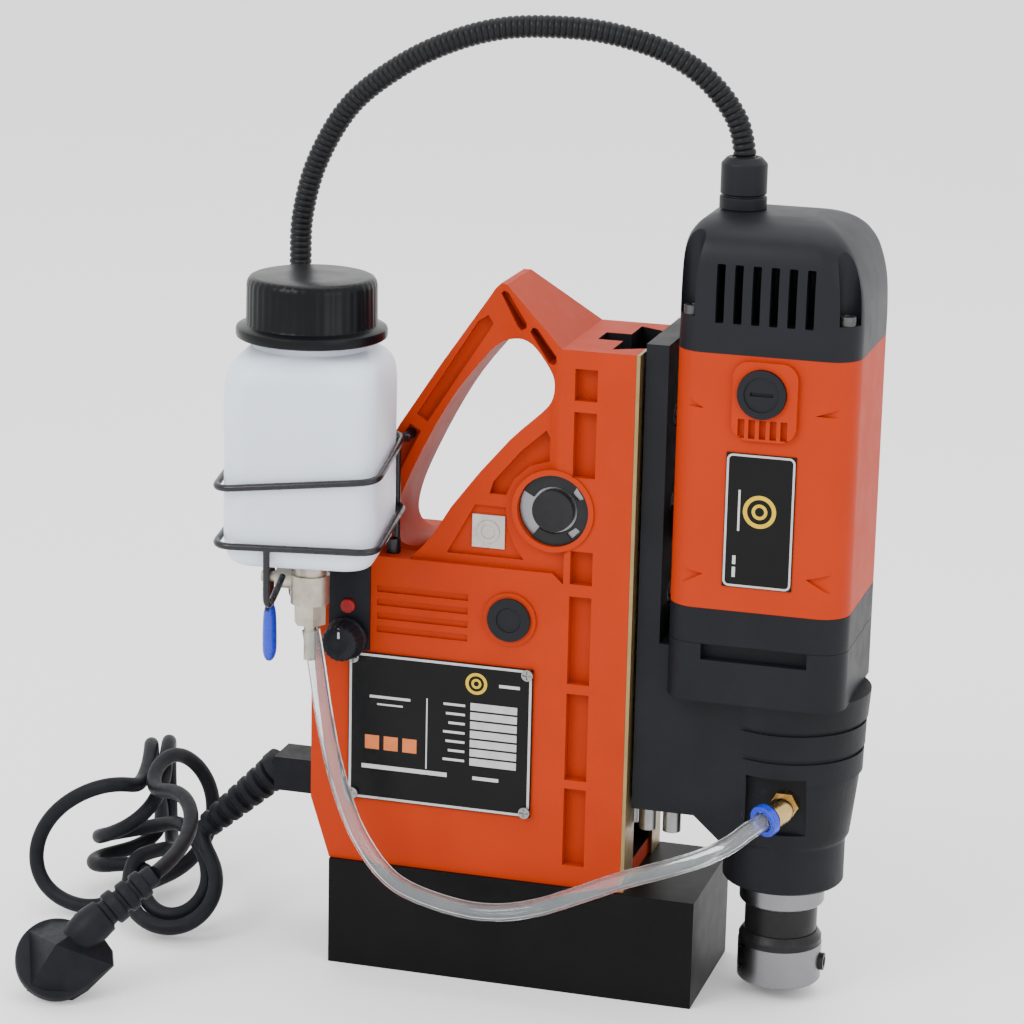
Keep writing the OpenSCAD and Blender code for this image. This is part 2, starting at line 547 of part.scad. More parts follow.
module spindle_shaft() color([0.14, 0.14, 0.15]) difference() {
  union() {
    zcyl(spindle_x, 0, 16.2, 30.5, 44);
    zcyl(spindle_x, 0, 15, 44, 78);
    zcyl(spindle_x, 0, 12, 78, 119);
    translate([spindle_x, 0, 119]) linear_extrude(12) polygon(gear_outline(50, 1, 3.6));
    zcyl(spindle_x, 0, 8, 131, 142);
  }
  zcyl(spindle_x, 0, 12, 30, 50);
  zcyl(spindle_x, 0, 4.05, 49, 72);
}
module spindle_collar() color(steel) translate([spindle_x, 0, 0]) rotate_extrude($fn = 96)
  polygon([[15, 44], [18.3, 44], [19, 44.8], [19, 54], [18.4, 54.7], [15, 54.7]]);
module arbor() color(steel) difference() {
  translate([spindle_x, 0, 0]) rotate_extrude($fn = 96) polygon([[0, 7], [17.9, 7],
    [arbor_diameter / 2, 8], [arbor_diameter / 2, 24.6], [18.4, 25.4], [18.6, 27.4], [16.6, 30.5],
    [12, 30.5], [12, 50], [0, 50]]);
  zcyl(spindle_x, 0, arbor_bore / 2, 6, 41);
  zcyl(spindle_x, 0, 4.05, 40, 51);
  for (a = [0, 90]) translate([spindle_x, 0, 16]) rotate([0, 90, a]) translate([0, 0, 8])
    cylinder(r = 4, h = 14, $fn = 48);
}
module set_screws() color(black) for (a = [0, 90]) translate([spindle_x, 0, 16])
  rotate([0, 90, a]) translate([0, 0, 10]) difference() {
    cylinder(r = 3.95, h = 10.6, $fn = 48);
    translate([0, 0, 7]) cylinder(r = 2.3, h = 5, $fn = 6);
  }
module ejector_pin() color(steel) translate([spindle_x, 0, 0]) rotate_extrude($fn = 48)
  polygon([[0, 41.4], [3, 41.4], [4, 42.4], [4, 63], [0, 63]]);

// ---------------------------------------------------------------- panel controls
module magnet_button() color([0.75, 0.08, 0.08]) {
  ycyl(-76.8, 170.4, 3.2, -hs - 3.6, -hs + 6);
  ycyl(-76.8, 170.4, 5, -hs + 4, -hs + 6);
}
module speed_knob() color(black) difference() {
  union() {
    ycyl(-77, 156, 3, -hs - 3.4, -hs + 7);
    translate([-77, -hs - 3.4, 156]) rotate([90, 0, 0]) rotate_extrude($fn = 64)
      polygon([[0, 0], [9.6, 0], [9.6, 2.5], [8.7, 10.5], [7.9, 11.4], [0, 11.4]]);
  }
  blk([-77.7, -hs - 15.4, 157], [-76.3, -hs - 14, 165]);
}

// ---------------------------------------------------------------- coolant
module at_bottle() translate([bottle_x, bottle_y, 0]) rotate([0, 0, bottle_turn]) children();
module bottle_shell(d) {
  post(0, 0, bottle_side - 2 * d, 12 - d, 204 + d, 284 - d);
  post(0, 0, bottle_side - 6 - 2 * d, 10 - d, 201 + d, 205 + d);
  post(0, 0, bottle_side - 5 - 2 * d, 11 - d, 283 - d, 288 - d);
  post(0, 0, bottle_side - 13 - 2 * d, 10 - d, 287 - d, 293 - d);
  zcyl(0, 0, 25 - d, 292 - d, 316 + 2 * d);
}
module bottle() color([0.93, 0.94, 0.95]) at_bottle() difference() {
  bottle_shell(0);
  bottle_shell(1.6);
  zcyl(0, 0, 5, 199, 204);
}
module bottle_cap() color(black) at_bottle() difference() {
  translate([0, 0, 0]) rotate_extrude($fn = 96) polygon([[0, 297], [32, 297], [32.6, 298],
    [32.6, 301], [29, 303], [28.2, 303], [28, 321.4], [26.4, 323.4], [0, 323.4]]);
  zcyl(0, 0, 25.1, 296, 316.1);
}
module wire_ring(z, h, r, w) translate([0, 0, z]) {
  for (s = [-1, 1]) {
    translate([s * h, -h + r, 0]) rotate([-90, 0, 0]) cylinder(r = w, h = 2 * (h - r), $fn = 24);
    translate([-h + r, s * h, 0]) rotate([0, 90, 0]) cylinder(r = w, h = 2 * (h - r), $fn = 24);
  }
  for (c = [[1, 1, 0], [-1, 1, 90], [-1, -1, 180], [1, -1, 270]])
    translate([c[0] * (h - r), c[1] * (h - r), 0]) rotate([0, 0, c[2]])
      rotate_extrude(angle = 90, $fn = 48) translate([r, 0]) circle(r = w, $fn = 24);
}
module bottle_bracket() color(black) at_bottle() {
  wire_ring(241, bottle_side / 2 + 1.9, 13.9, 1.5);
  wire_ring(213, bottle_side / 2 + 1.9, 13.9, 1.5);
  // upright at the corner beside the handle, and the leg that reaches under to the valve
  zcyl(31.3, 31.3, 1.5, 200.8, 246.5);
  translate([31.3, 31.3, 246.5]) sphere(r = 1.5, $fn = 24);
  translate([31.3, 31.3, 246.5]) rotate([0, 0, -8]) rotate([0, 90, 0])
    cylinder(r = 1.5, h = 6, $fn = 24);
  zcyl(-12, -bottle_side / 2 - 1.9, 1.5, 186, 213);
  translate([-12, -bottle_side / 2 - 1.9, 186]) sphere(r = 1.5, $fn = 24);
  translate([-12, -bottle_side / 2 - 1.9, 186]) rotate([-90, 0, 0])
    cylinder(r = 1.5, h = 26.5, $fn = 24);
}
module bracket_clamps() color(black) {
  zcyl(-59.36, -25.65, 3.2, deck_top, 200.8);
  ycyl(-54.9, 246.5, 2.2, -24.15, -14.5);
}
module valve_body() color([0.66, 0.64, 0.60]) translate([bottle_x, bottle_y, 0]) {
  difference() {
    union() {
      translate([0, 0, 195]) cylinder(r = 9.6, h = 6, $fn = 6);
      zcyl(0, 0, 7.2, 190, 195);
      zcyl(0, 0, 8.6, 178, 191);
      zcyl(0, 0, 4.95, 201, 206);
      zcyl(0, 0, 8, 202.6, 206);
      translate([0, 0, 168.5]) cylinder(r = 7.2, h = 9.5, $fn = 6);
      zcyl(0, 0, 2.7, 152, 169);
      xcyl(0, 188, 4.6, -15, 0);
      xcyl(0, 188, 2.5, -22, -15);
    }
    zcyl(0, 0, 3, 177, 209);
    zcyl(0, 0, 1.6, 150, 179);
  }
}
module valve_lever() color(black) translate([bottle_x, bottle_y, 0]) difference() {
  union() {
    blk([-19.6, -3.6, 170], [-17.8, 3.6, 188]);
    xcyl(0, 188, 5.2, -19.6, -17.8);
    blk([-19.6, -2.4, 152], [-17.8, 2.4, 171]);
  }
  xcyl(0, 188, 2.55, -21, -16);
}
module lever_grip() color([0.07, 0.16, 0.62]) translate([bottle_x, bottle_y, 0]) difference() {
  union() {
    blk([-21.8, -4.4, 152], [-15.7, 4.4, 175]);
    xcyl(0, 152, 4.4, -21.8, -15.7);
  }
  blk([-19.6, -3.6, 171], [-17.8, 3.6, 176]);
  blk([-19.6, -2.4, 152], [-17.8, 2.4, 172]);
}
module coolant_hose() color([0.80, 0.84, 0.86]) tube(hose_points, hose_diameter / 2, [0, 1, 0], 3);

// ---------------------------------------------------------------- conduit and mains lead
module conduit_elbow() color(black) difference() {
  union() {
    xcyl(0, 165, 5.9, -94.5, -88);
    xcyl(0, 165, 11, -98.5, -94.5);
    xcyl(0, 165, 8.5, -109, -98.5);
    translate([-109, 0, 165]) sphere(r = 8.5, $fn = 32);
    zcyl(-109, 0, 8.5, 165, 180);
    zcyl(-109, 0, 9.4, 180, 192);
  }
  zcyl(-109, 0, 5.4, 184, 193);
  xcyl(0, 165, 3.5, -109, -80);
}
module conduit() color(black) tube(conduit_points, 5, [0, 1, 0], 4);
module mains_gland() color(black) {
  difference() {
    union() {
      blk([-121, -10, 70], [-94.5, 10, 86]);
      xcyl(0, 78, 5.9, -94.5, -84);
    }
    xcyl(0, 78, 3.6, -112, -83);
  }
  translate([-120, 0, 79]) rotate([0, 0, 184.8]) rotate([0, 132.7, 0]) rotate_extrude($fn = 48)
    polygon([[0, 0], [9, 0], [9, 5], for (i = [0 : 6]) each [[6.6 - i * 0.3, 6 + i * 6.4],
      [8.4 - i * 0.35, 7.2 + i * 6.4], [8.2 - i * 0.35, 10.2 + i * 6.4],
      [6.4 - i * 0.3, 11.4 + i * 6.4]], [4.6, 52], [0, 52]]);
}
module mains_cable() color(black) {
  tube(lead_points, 3.5, [0, 1, 0], 2);
  tube(tail_points, 3.5, [1, 0, 0], 2);
}
module cable_bundle() color(black) {
  difference() {
    ycyl(-208, 35, 32, -24, -8);
    ycyl(-208, 35, 22, -25, 0);
  }
  zcyl(-203, 15, 23, 8, 52);
  xcyl(42, 42, 27, -214, -188);
  xcyl(28, 40, 24, -190, -168);
  ycyl(-168, 27, 25, -43, -12);
}
module at_plug() translate([-186.3, -110.6, 14.8]) rotate([0, 50.4, -64.8]) children();
module plug_body() color(black) {
  at_plug() {
    cylinder(r = 18.5, h = 7, $fn = 64);
    translate([0, 0, 7]) cylinder(r1 = 17.5, r2 = 7, h = 20, $fn = 64);
  }
  translate([-182.4, -119, 22.4]) rotate([0, 56, 42.5]) rotate_extrude($fn = 48)
    polygon([[0, 0], [11.5, 0], [8, 26], [5.8, 28.4], [7.8, 31], [7.6, 35], [5.6, 36.5],
      [7.2, 38], [7, 42], [5.4, 43.5], [6.6, 45], [6.4, 49], [5, 50.5], [4.9, 55], [0, 55]]);
}
module plug_pins() color(steel) at_plug() for (s = [-1, 1])
  translate([0, s * 9.5, -19]) cylinder(r = 2.4, h = 19, $fn = 48);

magnet_body();
magnet_coils();
magnet_potting();
magnet_bolts();
main_housing();
gib_strips();
nameplate();
nameplate_screws();
control_panel();
control_board();
badge_plate();
access_plug();
pinion_bushes();
pinion_circlip();
pinion_shaft();
capstan_hub();
feed_arms();
arm_knobs();
slide_bar();
rack();
carriage_plate();
carriage_screws();
gearbox_housing();
gearbox_cover();
motor_housing();
motor_cap();
cap_screws();
stator_core();
brush_bezels();
brush_caps();
motor_label();
conduit_gland();
nozzle_fitting();
push_fit_collar();
ball_bearings();
armature_shaft();
armature_core();
intermediate_gear();
spindle_shaft();
spindle_collar();
arbor();
set_screws();
ejector_pin();
magnet_button();
speed_knob();
bottle();
bottle_cap();
bottle_bracket();
bracket_clamps();
valve_body();
valve_lever();
lever_grip();
coolant_hose();
conduit_elbow();
conduit();
mains_gland();
mains_cable();
cable_bundle();
plug_body();
plug_pins();
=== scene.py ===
import bpy
import bmesh
import json
import math
from mathutils import Matrix, Vector

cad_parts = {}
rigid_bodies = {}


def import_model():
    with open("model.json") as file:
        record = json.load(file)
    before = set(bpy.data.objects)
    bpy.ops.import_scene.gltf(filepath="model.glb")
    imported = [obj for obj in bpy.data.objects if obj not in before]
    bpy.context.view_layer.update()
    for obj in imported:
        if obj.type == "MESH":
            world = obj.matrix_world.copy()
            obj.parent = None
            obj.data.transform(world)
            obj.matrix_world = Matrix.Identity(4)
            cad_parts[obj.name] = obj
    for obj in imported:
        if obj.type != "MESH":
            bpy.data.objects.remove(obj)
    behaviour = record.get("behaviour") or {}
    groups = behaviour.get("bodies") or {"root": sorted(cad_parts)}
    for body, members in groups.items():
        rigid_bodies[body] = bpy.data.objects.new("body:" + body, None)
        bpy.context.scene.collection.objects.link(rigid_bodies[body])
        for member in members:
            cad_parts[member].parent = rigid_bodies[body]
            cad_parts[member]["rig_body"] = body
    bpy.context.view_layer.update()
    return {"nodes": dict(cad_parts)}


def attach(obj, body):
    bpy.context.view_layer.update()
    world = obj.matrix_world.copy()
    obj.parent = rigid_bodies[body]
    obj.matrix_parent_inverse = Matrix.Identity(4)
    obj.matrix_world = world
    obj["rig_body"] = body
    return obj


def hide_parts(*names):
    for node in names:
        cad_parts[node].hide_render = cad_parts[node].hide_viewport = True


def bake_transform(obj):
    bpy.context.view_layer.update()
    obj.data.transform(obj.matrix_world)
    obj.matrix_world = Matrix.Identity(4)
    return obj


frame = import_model()
nodes = frame["nodes"]
MM = 0.001

# ------------------------------------------------------------------ camera
camera_data = bpy.data.cameras.new("camera")
camera_data.sensor_width = 36
camera_data.lens = 119.4
camera_data.clip_start = 0.05
camera_data.clip_end = 30
camera = bpy.data.objects.new("camera", camera_data)
bpy.context.scene.collection.objects.link(camera)
azimuth, elevation, roll = (math.radians(v) for v in (15.85, 14.955, 1.306))
back = Vector((math.sin(azimuth) * math.cos(elevation), -math.cos(azimuth) * math.cos(elevation),
               math.sin(elevation)))
right = Vector((math.cos(azimuth), math.sin(azimuth), 0))
up = back.cross(right)
cam_x = right * math.cos(roll) + up * math.sin(roll)
cam_y = up * math.cos(roll) - right * math.sin(roll)
camera.matrix_world = Matrix((
    (cam_x.x, cam_y.x, back.x, 0.3871), (cam_x.y, cam_y.y, back.y, -1.4073),
    (cam_x.z, cam_y.z, back.z, 0.6013), (0, 0, 0, 1)))
bpy.context.scene.camera = camera


# ------------------------------------------------------------------ materials
def node_tree(name):
    m = bpy.data.materials.new(name)
    m.use_nodes = True
    t = m.node_tree
    shader = t.nodes["Principled BSDF"]
    where = t.nodes.new("ShaderNodeTexCoord")
    return m, t, shader, where.outputs["Object"]


def noise(t, where, size, detail=3.0, stretch=None):
    """Noise with features of about `size` metres; stretch squeezes it along X, Y and Z."""
    source = where
    if stretch:
        mapping = t.nodes.new("ShaderNodeMapping")
        mapping.inputs["Scale"].default_value = stretch
        t.links.new(where, mapping.inputs["Vector"])
        source = mapping.outputs["Vector"]
    n = t.nodes.new("ShaderNodeTexNoise")
    n.inputs["Scale"].default_value = 1 / size
    n.inputs["Detail"].default_value = detail
    t.links.new(source, n.inputs["Vector"])
    return n.outputs["Fac"]


def spread(t, value, low, high, start=0.35, end=0.65):
    r = t.nodes.new("ShaderNodeMapRange")
    r.inputs["From Min"].default_value = start
    r.inputs["From Max"].default_value = end
    r.inputs["To Min"].default_value = low
    r.inputs["To Max"].default_value = high
    t.links.new(value, r.inputs["Value"])
    return r.outputs["Result"]


def shaded(t, value, dark, light, start=0.3, end=0.7):
    ramp = t.nodes.new("ShaderNodeValToRGB")
    ramp.color_ramp.elements[0].position = start
    ramp.color_ramp.elements[0].color = (*dark, 1)
    ramp.color_ramp.elements[1].position = end
    ramp.color_ramp.elements[1].color = (*light, 1)
    t.links.new(value, ramp.inputs["Fac"])
    return ramp.outputs["Color"]


def surface(name, color, rough, metal=0.0, vary=0.1, size=0.02, grain=0.0012, bump=0.08,
            coat=0.0, rough_vary=0.08, stretch=None, specular=0.5):
    m, t, s, where = node_tree(name)
    big = noise(t, where, size)
    dark = tuple(c * (1 - vary) for c in color)
    light = tuple(min(1.0, c * (1 + vary)) for c in color)
    t.links.new(shaded(t, big, dark, light), s.inputs["Base Color"])
    fine = noise(t, where, grain, 4.0, stretch)
    t.links.new(spread(t, noise(t, where, size * 0.4, 4.0), max(0.02, rough - rough_vary),
                       min(1.0, rough + rough_vary)), s.inputs["Roughness"])
    b = t.nodes.new("ShaderNodeBump")
    b.inputs["Strength"].default_value = bump
    b.inputs["Distance"].default_value = grain * 0.5
    t.links.new(fine, b.inputs["Height"])
    t.links.new(b.outputs["Normal"], s.inputs["Normal"])
    s.inputs["Metallic"].default_value = metal
    s.inputs["Specular IOR Level"].default_value = specular
    s.inputs["Coat Weight"].default_value = coat
    s.inputs["Coat Roughness"].default_value = 0.15
    return m


M = {
    "orange_paint": surface("orange_paint", (0.33, 0.0215, 0.0), 0.54, vary=0.05, size=0.03,
                            grain=0.0016, bump=0.08, coat=0.0, specular=0.12, rough_vary=0.03),
    "orange_plastic": surface("orange_plastic", (0.34, 0.0215, 0.0), 0.54, vary=0.04, size=0.04,
                              grain=0.0009, bump=0.06, coat=0.0, specular=0.12, rough_vary=0.03),
    "black_paint": surface("black_paint", (0.0035, 0.0035, 0.0038), 0.42, vary=0.2, size=0.03,
                           grain=0.0009, bump=0.08, specular=0.08, rough_vary=0.02),
    "black_cast": surface("black_cast", (0.0062, 0.0066, 0.0084), 0.50, vary=0.2, size=0.03,
                          grain=0.0011, bump=0.20, specular=0.13, rough_vary=0.03),
    "black_plastic": surface("black_plastic", (0.0062, 0.0070, 0.0096), 0.46, vary=0.12,
                             size=0.03, grain=0.0006, bump=0.10, specular=0.15, rough_vary=0.02),
    "cap_plastic": surface("cap_plastic", (0.0025, 0.003, 0.004), 0.30, vary=0.2, size=0.02,
                           grain=0.002, bump=0.03, specular=0.12, rough_vary=0.02),
    "black_rubber": surface("black_rubber", (0.0058, 0.0064, 0.0088), 0.50, vary=0.25, size=0.01,
                            grain=0.0006, bump=0.15, rough_vary=0.05, specular=0.11),
    "black_wire": surface("black_wire", (0.004, 0.004, 0.007), 0.30, vary=0.2, size=0.01,
                          grain=0.0007, bump=0.12, specular=0.35),
    "black_steel": surface("black_steel", (0.012, 0.012, 0.013), 0.38, metal=0.3, vary=0.2,
                           size=0.01, grain=0.0006, bump=0.10, specular=0.2, rough_vary=0.03),
    "turned_steel": surface("turned_steel", (0.20, 0.20, 0.21), 0.30, metal=1.0, vary=0.05,
                            size=0.02, grain=0.0005, bump=0.10, stretch=(1, 1, 9),
                            rough_vary=0.04),
    "steel_fastener": surface("steel_fastener", (0.24, 0.24, 0.235), 0.34, metal=1.0, vary=0.08,
                              size=0.004, grain=0.0004, bump=0.10, rough_vary=0.05),
    "dull_steel": surface("dull_steel", (0.07, 0.07, 0.072), 0.42, metal=0.9, vary=0.12,
                          size=0.004, grain=0.0004, bump=0.10, rough_vary=0.05),
    "brass_strip": surface("brass_strip", (0.24, 0.165, 0.07), 0.40, metal=0.8, vary=0.1,
                           size=0.01, grain=0.0006, bump=0.12, stretch=(6, 6, 1)),
    "brass_fitting": surface("brass_fitting", (0.48, 0.33, 0.13), 0.28, metal=1.0, vary=0.12,
                             size=0.004, grain=0.0005, bump=0.1, rough_vary=0.05),
    "valve_metal": surface("valve_metal", (0.36, 0.33, 0.27), 0.36, metal=0.9, vary=0.18,
                           size=0.006, grain=0.0006, bump=0.2, rough_vary=0.06),
    "badge_metal": surface("badge_metal", (0.40, 0.36, 0.34), 0.40, metal=0.5, vary=0.1,
                           size=0.004, grain=0.0004, bump=0.10, stretch=(1, 1, 7)),
    "plate_black": surface("plate_black", (0.003, 0.003, 0.0035), 0.34, vary=0.15, size=0.03,
                           grain=0.001, bump=0.02, specular=0.12, rough_vary=0.02),
    "plate_silver": surface("plate_silver", (0.40, 0.39, 0.39), 0.36, metal=0.5, vary=0.08,
                            size=0.006, grain=0.0004, bump=0.1, rough_vary=0.04),
    "print_white": surface("print_white", (0.42, 0.42, 0.43), 0.5, vary=0.05, size=0.004,
                           grain=0.0005, bump=0.03, specular=0.2),
    "print_amber": surface("print_amber", (0.50, 0.33, 0.01), 0.45, vary=0.08, size=0.004,
                           grain=0.0005, bump=0.03, specular=0.2),
    "print_orange": surface("print_orange", (0.50, 0.13, 0.035), 0.45, vary=0.08, size=0.004,
                            grain=0.0005, bump=0.03, specular=0.2),
    "blue_plastic": surface("blue_plastic", (0.006, 0.028, 0.42), 0.30, vary=0.1, size=0.005,
                            grain=0.001, bump=0.05, specular=0.4),
    "red_plastic": surface("red_plastic", (0.22, 0.006, 0.006), 0.36, vary=0.12, size=0.003,
                           grain=0.0006, bump=0.05, specular=0.3),
    "copper_coil": surface("copper_coil", (0.62, 0.27, 0.12), 0.34, metal=0.8, vary=0.2,
                           size=0.004, grain=0.0006, bump=0.5, stretch=(1, 1, 5)),
    "black_resin": surface("black_resin", (0.02, 0.018, 0.016), 0.22, vary=0.2, size=0.02,
                           grain=0.003, bump=0.1),
    "circuit_board": surface("circuit_board", (0.02, 0.16, 0.06), 0.4, vary=0.2, size=0.004,
                             grain=0.0008, bump=0.2),
    "stator_iron": surface("stator_iron", (0.30, 0.30, 0.31), 0.42, metal=0.9, vary=0.15,
                           size=0.006, grain=0.0006, bump=0.4, stretch=(0.2, 0.2, 6)),
    "bottle_plastic": surface("bottle_plastic", (0.60, 0.67, 0.78), 0.36, vary=0.02, size=0.04,
                              grain=0.003, bump=0.03, rough_vary=0.05, specular=0.35),
    "conduit_plastic": surface("conduit_plastic", (0.0055, 0.0058, 0.007), 0.38, vary=0.2,
                               size=0.01, grain=0.0006, bump=0.12, specular=0.15),
    "floor": surface("floor", (0.90, 0.90, 0.90), 0.7, vary=0.008, size=0.4, grain=0.004,
                     bump=0.02, specular=0.2),
}
shell = M["bottle_plastic"].node_tree.nodes["Principled BSDF"]
shell.inputs["Subsurface Weight"].default_value = 0.35
shell.inputs["Subsurface Radius"].default_value = (0.9, 0.95, 1.0)
shell.inputs["Subsurface Scale"].default_value = 0.012


def clear_hose():
    m, t, s, where = node_tree("clear_hose")
    t.links.new(shaded(t, noise(t, where, 0.02), (0.80, 0.84, 0.86), (0.90, 0.93, 0.94)),
                s.inputs["Base Color"])
    t.links.new(spread(t, noise(t, where, 0.004, 4.0), 0.03, 0.08), s.inputs["Roughness"])
    b = t.nodes.new("ShaderNodeBump")
    b.inputs["Strength"].default_value = 0.1
    b.inputs["Distance"].default_value = 0.001
    t.links.new(noise(t, where, 0.003), b.inputs["Height"])
    t.links.new(b.outputs["Normal"], s.inputs["Normal"])
    s.inputs["Transmission Weight"].default_value = 0.95
    s.inputs["IOR"].default_value = 1.28
    return m


M["clear_hose"] = clear_hose()


# ------------------------------------------------------------------ mesh helpers
def add_piece(name, mesh, body, mats, replaces=()):
    o = bpy.data.objects.new(name, mesh)
    bpy.context.scene.collection.objects.link(o)
    for m in [mats] if isinstance(mats, str) else mats:
        mesh.materials.append(M[m])
    if body:
        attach(o, body)
    if replaces:
        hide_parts(*replaces)
    return o


def finish_mesh(bm, name, sharp=38, scale=1.0):
    """Smooth faces with sharp edges above an angle, from a bmesh in millimetres when scale is MM."""
    bmesh.ops.recalc_face_normals(bm, faces=bm.faces)
    for f in bm.faces:
        f.smooth = True
    for e in bm.edges:
        e.smooth = not (len(e.link_faces) == 2 and e.calc_face_angle(0) > math.radians(sharp))
    if scale != 1.0:
        bmesh.ops.scale(bm, vec=(scale,) * 3, verts=bm.verts)
    mesh = bpy.data.meshes.new(name)
    bm.to_mesh(mesh)
    bm.free()
    return mesh


def weighted(o):
    w = o.modifiers.new("normals", "WEIGHTED_NORMAL")
    w.keep_sharp = True
    return o


def refined(node, name, slot, rounds=((0.4, 2, 25, None),), sharp=38):
    """A rounded copy of a CAD node: coplanar faces joined, then edges rounded in one or more
    rounds of (width in mm, segments, least angle, test of the edge's middle in mm)."""
    bm = bmesh.new()
    bm.from_mesh(nodes[node].data)
    bmesh.ops.remove_doubles(bm, verts=bm.verts, dist=2e-5)
    bmesh.ops.dissolve_limit(bm, angle_limit=math.radians(0.8), verts=bm.verts, edges=bm.edges)
    for width, segments, least, test in rounds:
        edges = [e for e in bm.edges if len(e.link_faces) == 2
                 and e.calc_face_angle(0) > math.radians(least)
                 and (test is None or test((e.verts[0].co + e.verts[1].co) / 2 / MM, e))]
        if edges:
            bmesh.ops.bevel(bm, geom=edges, offset=width * MM, segments=segments, profile=0.5,
                            affect="EDGES", clamp_overlap=True)
    mesh = finish_mesh(bm, name, sharp)
    body = nodes[node]["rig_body"]
    mats = [slot] if isinstance(slot, str) else slot
    return weighted(add_piece(name, mesh, body, mats, (node,)))


def smooth_line(points, k):
    out = []
    p = [Vector(q) for q in points]
    for i in range(len(p) - 1):
        a, b, c, d = p[max(i - 1, 0)], p[i], p[i + 1], p[min(i + 2, len(p) - 1)]
        for s in range(k):
            t = s / k
            out.append(0.5 * (2 * b + (c - a) * t + (2 * a - 5 * b + 4 * c - d) * t * t
                              + (3 * b - a - 3 * c + d) * t ** 3))
    out.append(p[-1])
    return out


def even(line, step):
    """The same line with points about `step` apart."""
    length = [0.0]
    for a, b in zip(line, line[1:]):
        length.append(length[-1] + (b - a).length)
    count = max(2, round(length[-1] / step))
    out, i = [], 0
    for j in range(count + 1):
        want = length[-1] * j / count
        while i < len(line) - 2 and length[i + 1] < want:
            i += 1
        gap = max(length[i + 1] - length[i], 1e-9)
        out.append(line[i].lerp(line[i + 1], min(1.0, (want - length[i]) / gap)))
    return out


def sweep(bm, line, radius, sides, closed=False):
    """A tube along line; radius is a number or a function of the distance from the start."""
    n = len(line)
    rings, far, side = [], 0.0, None
    for i, p in enumerate(line):
        if closed:
            t = (line[(i + 1) % n] - line[i - 1]).normalized()
        else:
            t = (line[min(i + 1, n - 1)] - line[max(i - 1, 0)]).normalized()
        if side is None:
            side = t.orthogonal().normalized()
        side = (side - t * side.dot(t)).normalized()
        other = t.cross(side)
        if i:
            far += (p - line[i - 1]).length
        r = radius(far) if callable(radius) else radius
        rings.append([bm.verts.new(p + (side * math.cos(a) + other * math.sin(a)) * r)
                      for a in (2 * math.pi * j / sides for j in range(sides))])
    pairs = list(zip(rings, rings[1:]))
    for a, b in pairs:
        for j in range(sides):
            bm.faces.new((a[j], a[(j + 1) % sides], b[(j + 1) % sides], b[j]))
    if closed:
        a, b = rings[-1], rings[0]
        start = min(range(sides), key=lambda s: (a[0].co - b[s].co).length)
        for j in range(sides):
            bm.faces.new((a[j], a[(j + 1) % sides], b[(j + 1 + start) % sides],
                          b[(j + start) % sides]))
    return rings


def capped(bm, rings):
    bm.faces.new(list(reversed(rings[0])))
    bm.faces.new(rings[-1])


def lathe(bm, profile, steps, place=Matrix.Identity(4), wave=None):
    """A turned solid round local Z from (radius, z) pairs that start and end on the axis."""
    rings = []
    for k, (r, z) in enumerate(profile):
        if r < 1e-6:
            rings.append([bm.verts.new(place @ Vector((0, 0, z)))])
        else:
            rings.append([bm.verts.new(place @ Vector((
                (r + (wave(k, a) if wave else 0)) * math.cos(a),
                (r + (wave(k, a) if wave else 0)) * math.sin(a), z)))
                for a in (2 * math.pi * j / steps for j in range(steps))])
    for a, b in zip(rings, rings[1:]):
        for j in range(steps):
            k = (j + 1) % steps
            if len(a) == 1:
                bm.faces.new((a[0], b[k], b[j]))
            elif len(b) == 1:
                bm.faces.new((a[j], a[k], b[0]))
            else:
                bm.faces.new((a[j], a[k], b[k], b[j]))
    return rings


def skin(bm, rings):
    """Closes a stack of rings with the same number of points into a solid."""
    n = len(rings[0])
    for a, b in zip(rings, rings[1:]):
        for j in range(n):
            k = (j + 1) % n
            bm.faces.new((a[j], a[k], b[k], b[j]))
    capped(bm, rings)


def block(bm, low, high, bevel=0.0, index=0):
    x, y, z = zip(low, high)
    v = [bm.verts.new((x[i], y[j], z[k])) for i in (0, 1) for j in (0, 1) for k in (0, 1)]
    faces = [bm.faces.new([v[i] for i in q]) for q in
             ((0, 1, 3, 2), (4, 6, 7, 5), (0, 4, 5, 1), (2, 3, 7, 6), (0, 2, 6, 4), (1, 5, 7, 3))]
    for f in faces:
        f.material_index = index
    if bevel:
        edges = list({e for f in faces for e in f.edges})
        bmesh.ops.bevel(bm, geom=edges, offset=bevel, segments=2, profile=0.5, affect="EDGES")


def frame_bars(bm, x0, x1, z0, z1, front, rear, wide, corner, index=0):
    """A flat rounded border in the XZ plane between y = front and y = rear."""
    def loop(inset):
        pts, r = [], max(corner - inset, 0.2)
        for cx, cz, a0 in ((x1 - inset - r, z1 - inset - r, 0), (x0 + inset + r, z1 - inset - r, 90),
                           (x0 + inset + r, z0 + inset + r, 180),
                           (x1 - inset - r, z0 + inset + r, 270)):
            for s in range(7):
                a = math.radians(a0 + 15 * s)
                pts.append((cx + r * math.cos(a), cz + r * math.sin(a)))
        return pts
    rings = [[bm.verts.new((x, y, z)) for x, z in loop(i)]
             for i, y in ((0, rear), (0, front), (wide, front), (wide, rear))]
    n = len(rings[0])
    for a, b in zip(rings, rings[1:] + rings[:1]):
        for j in range(n):
            bm.faces.new((a[j], a[(j + 1) % n], b[(j + 1) % n], b[j])).material_index = index


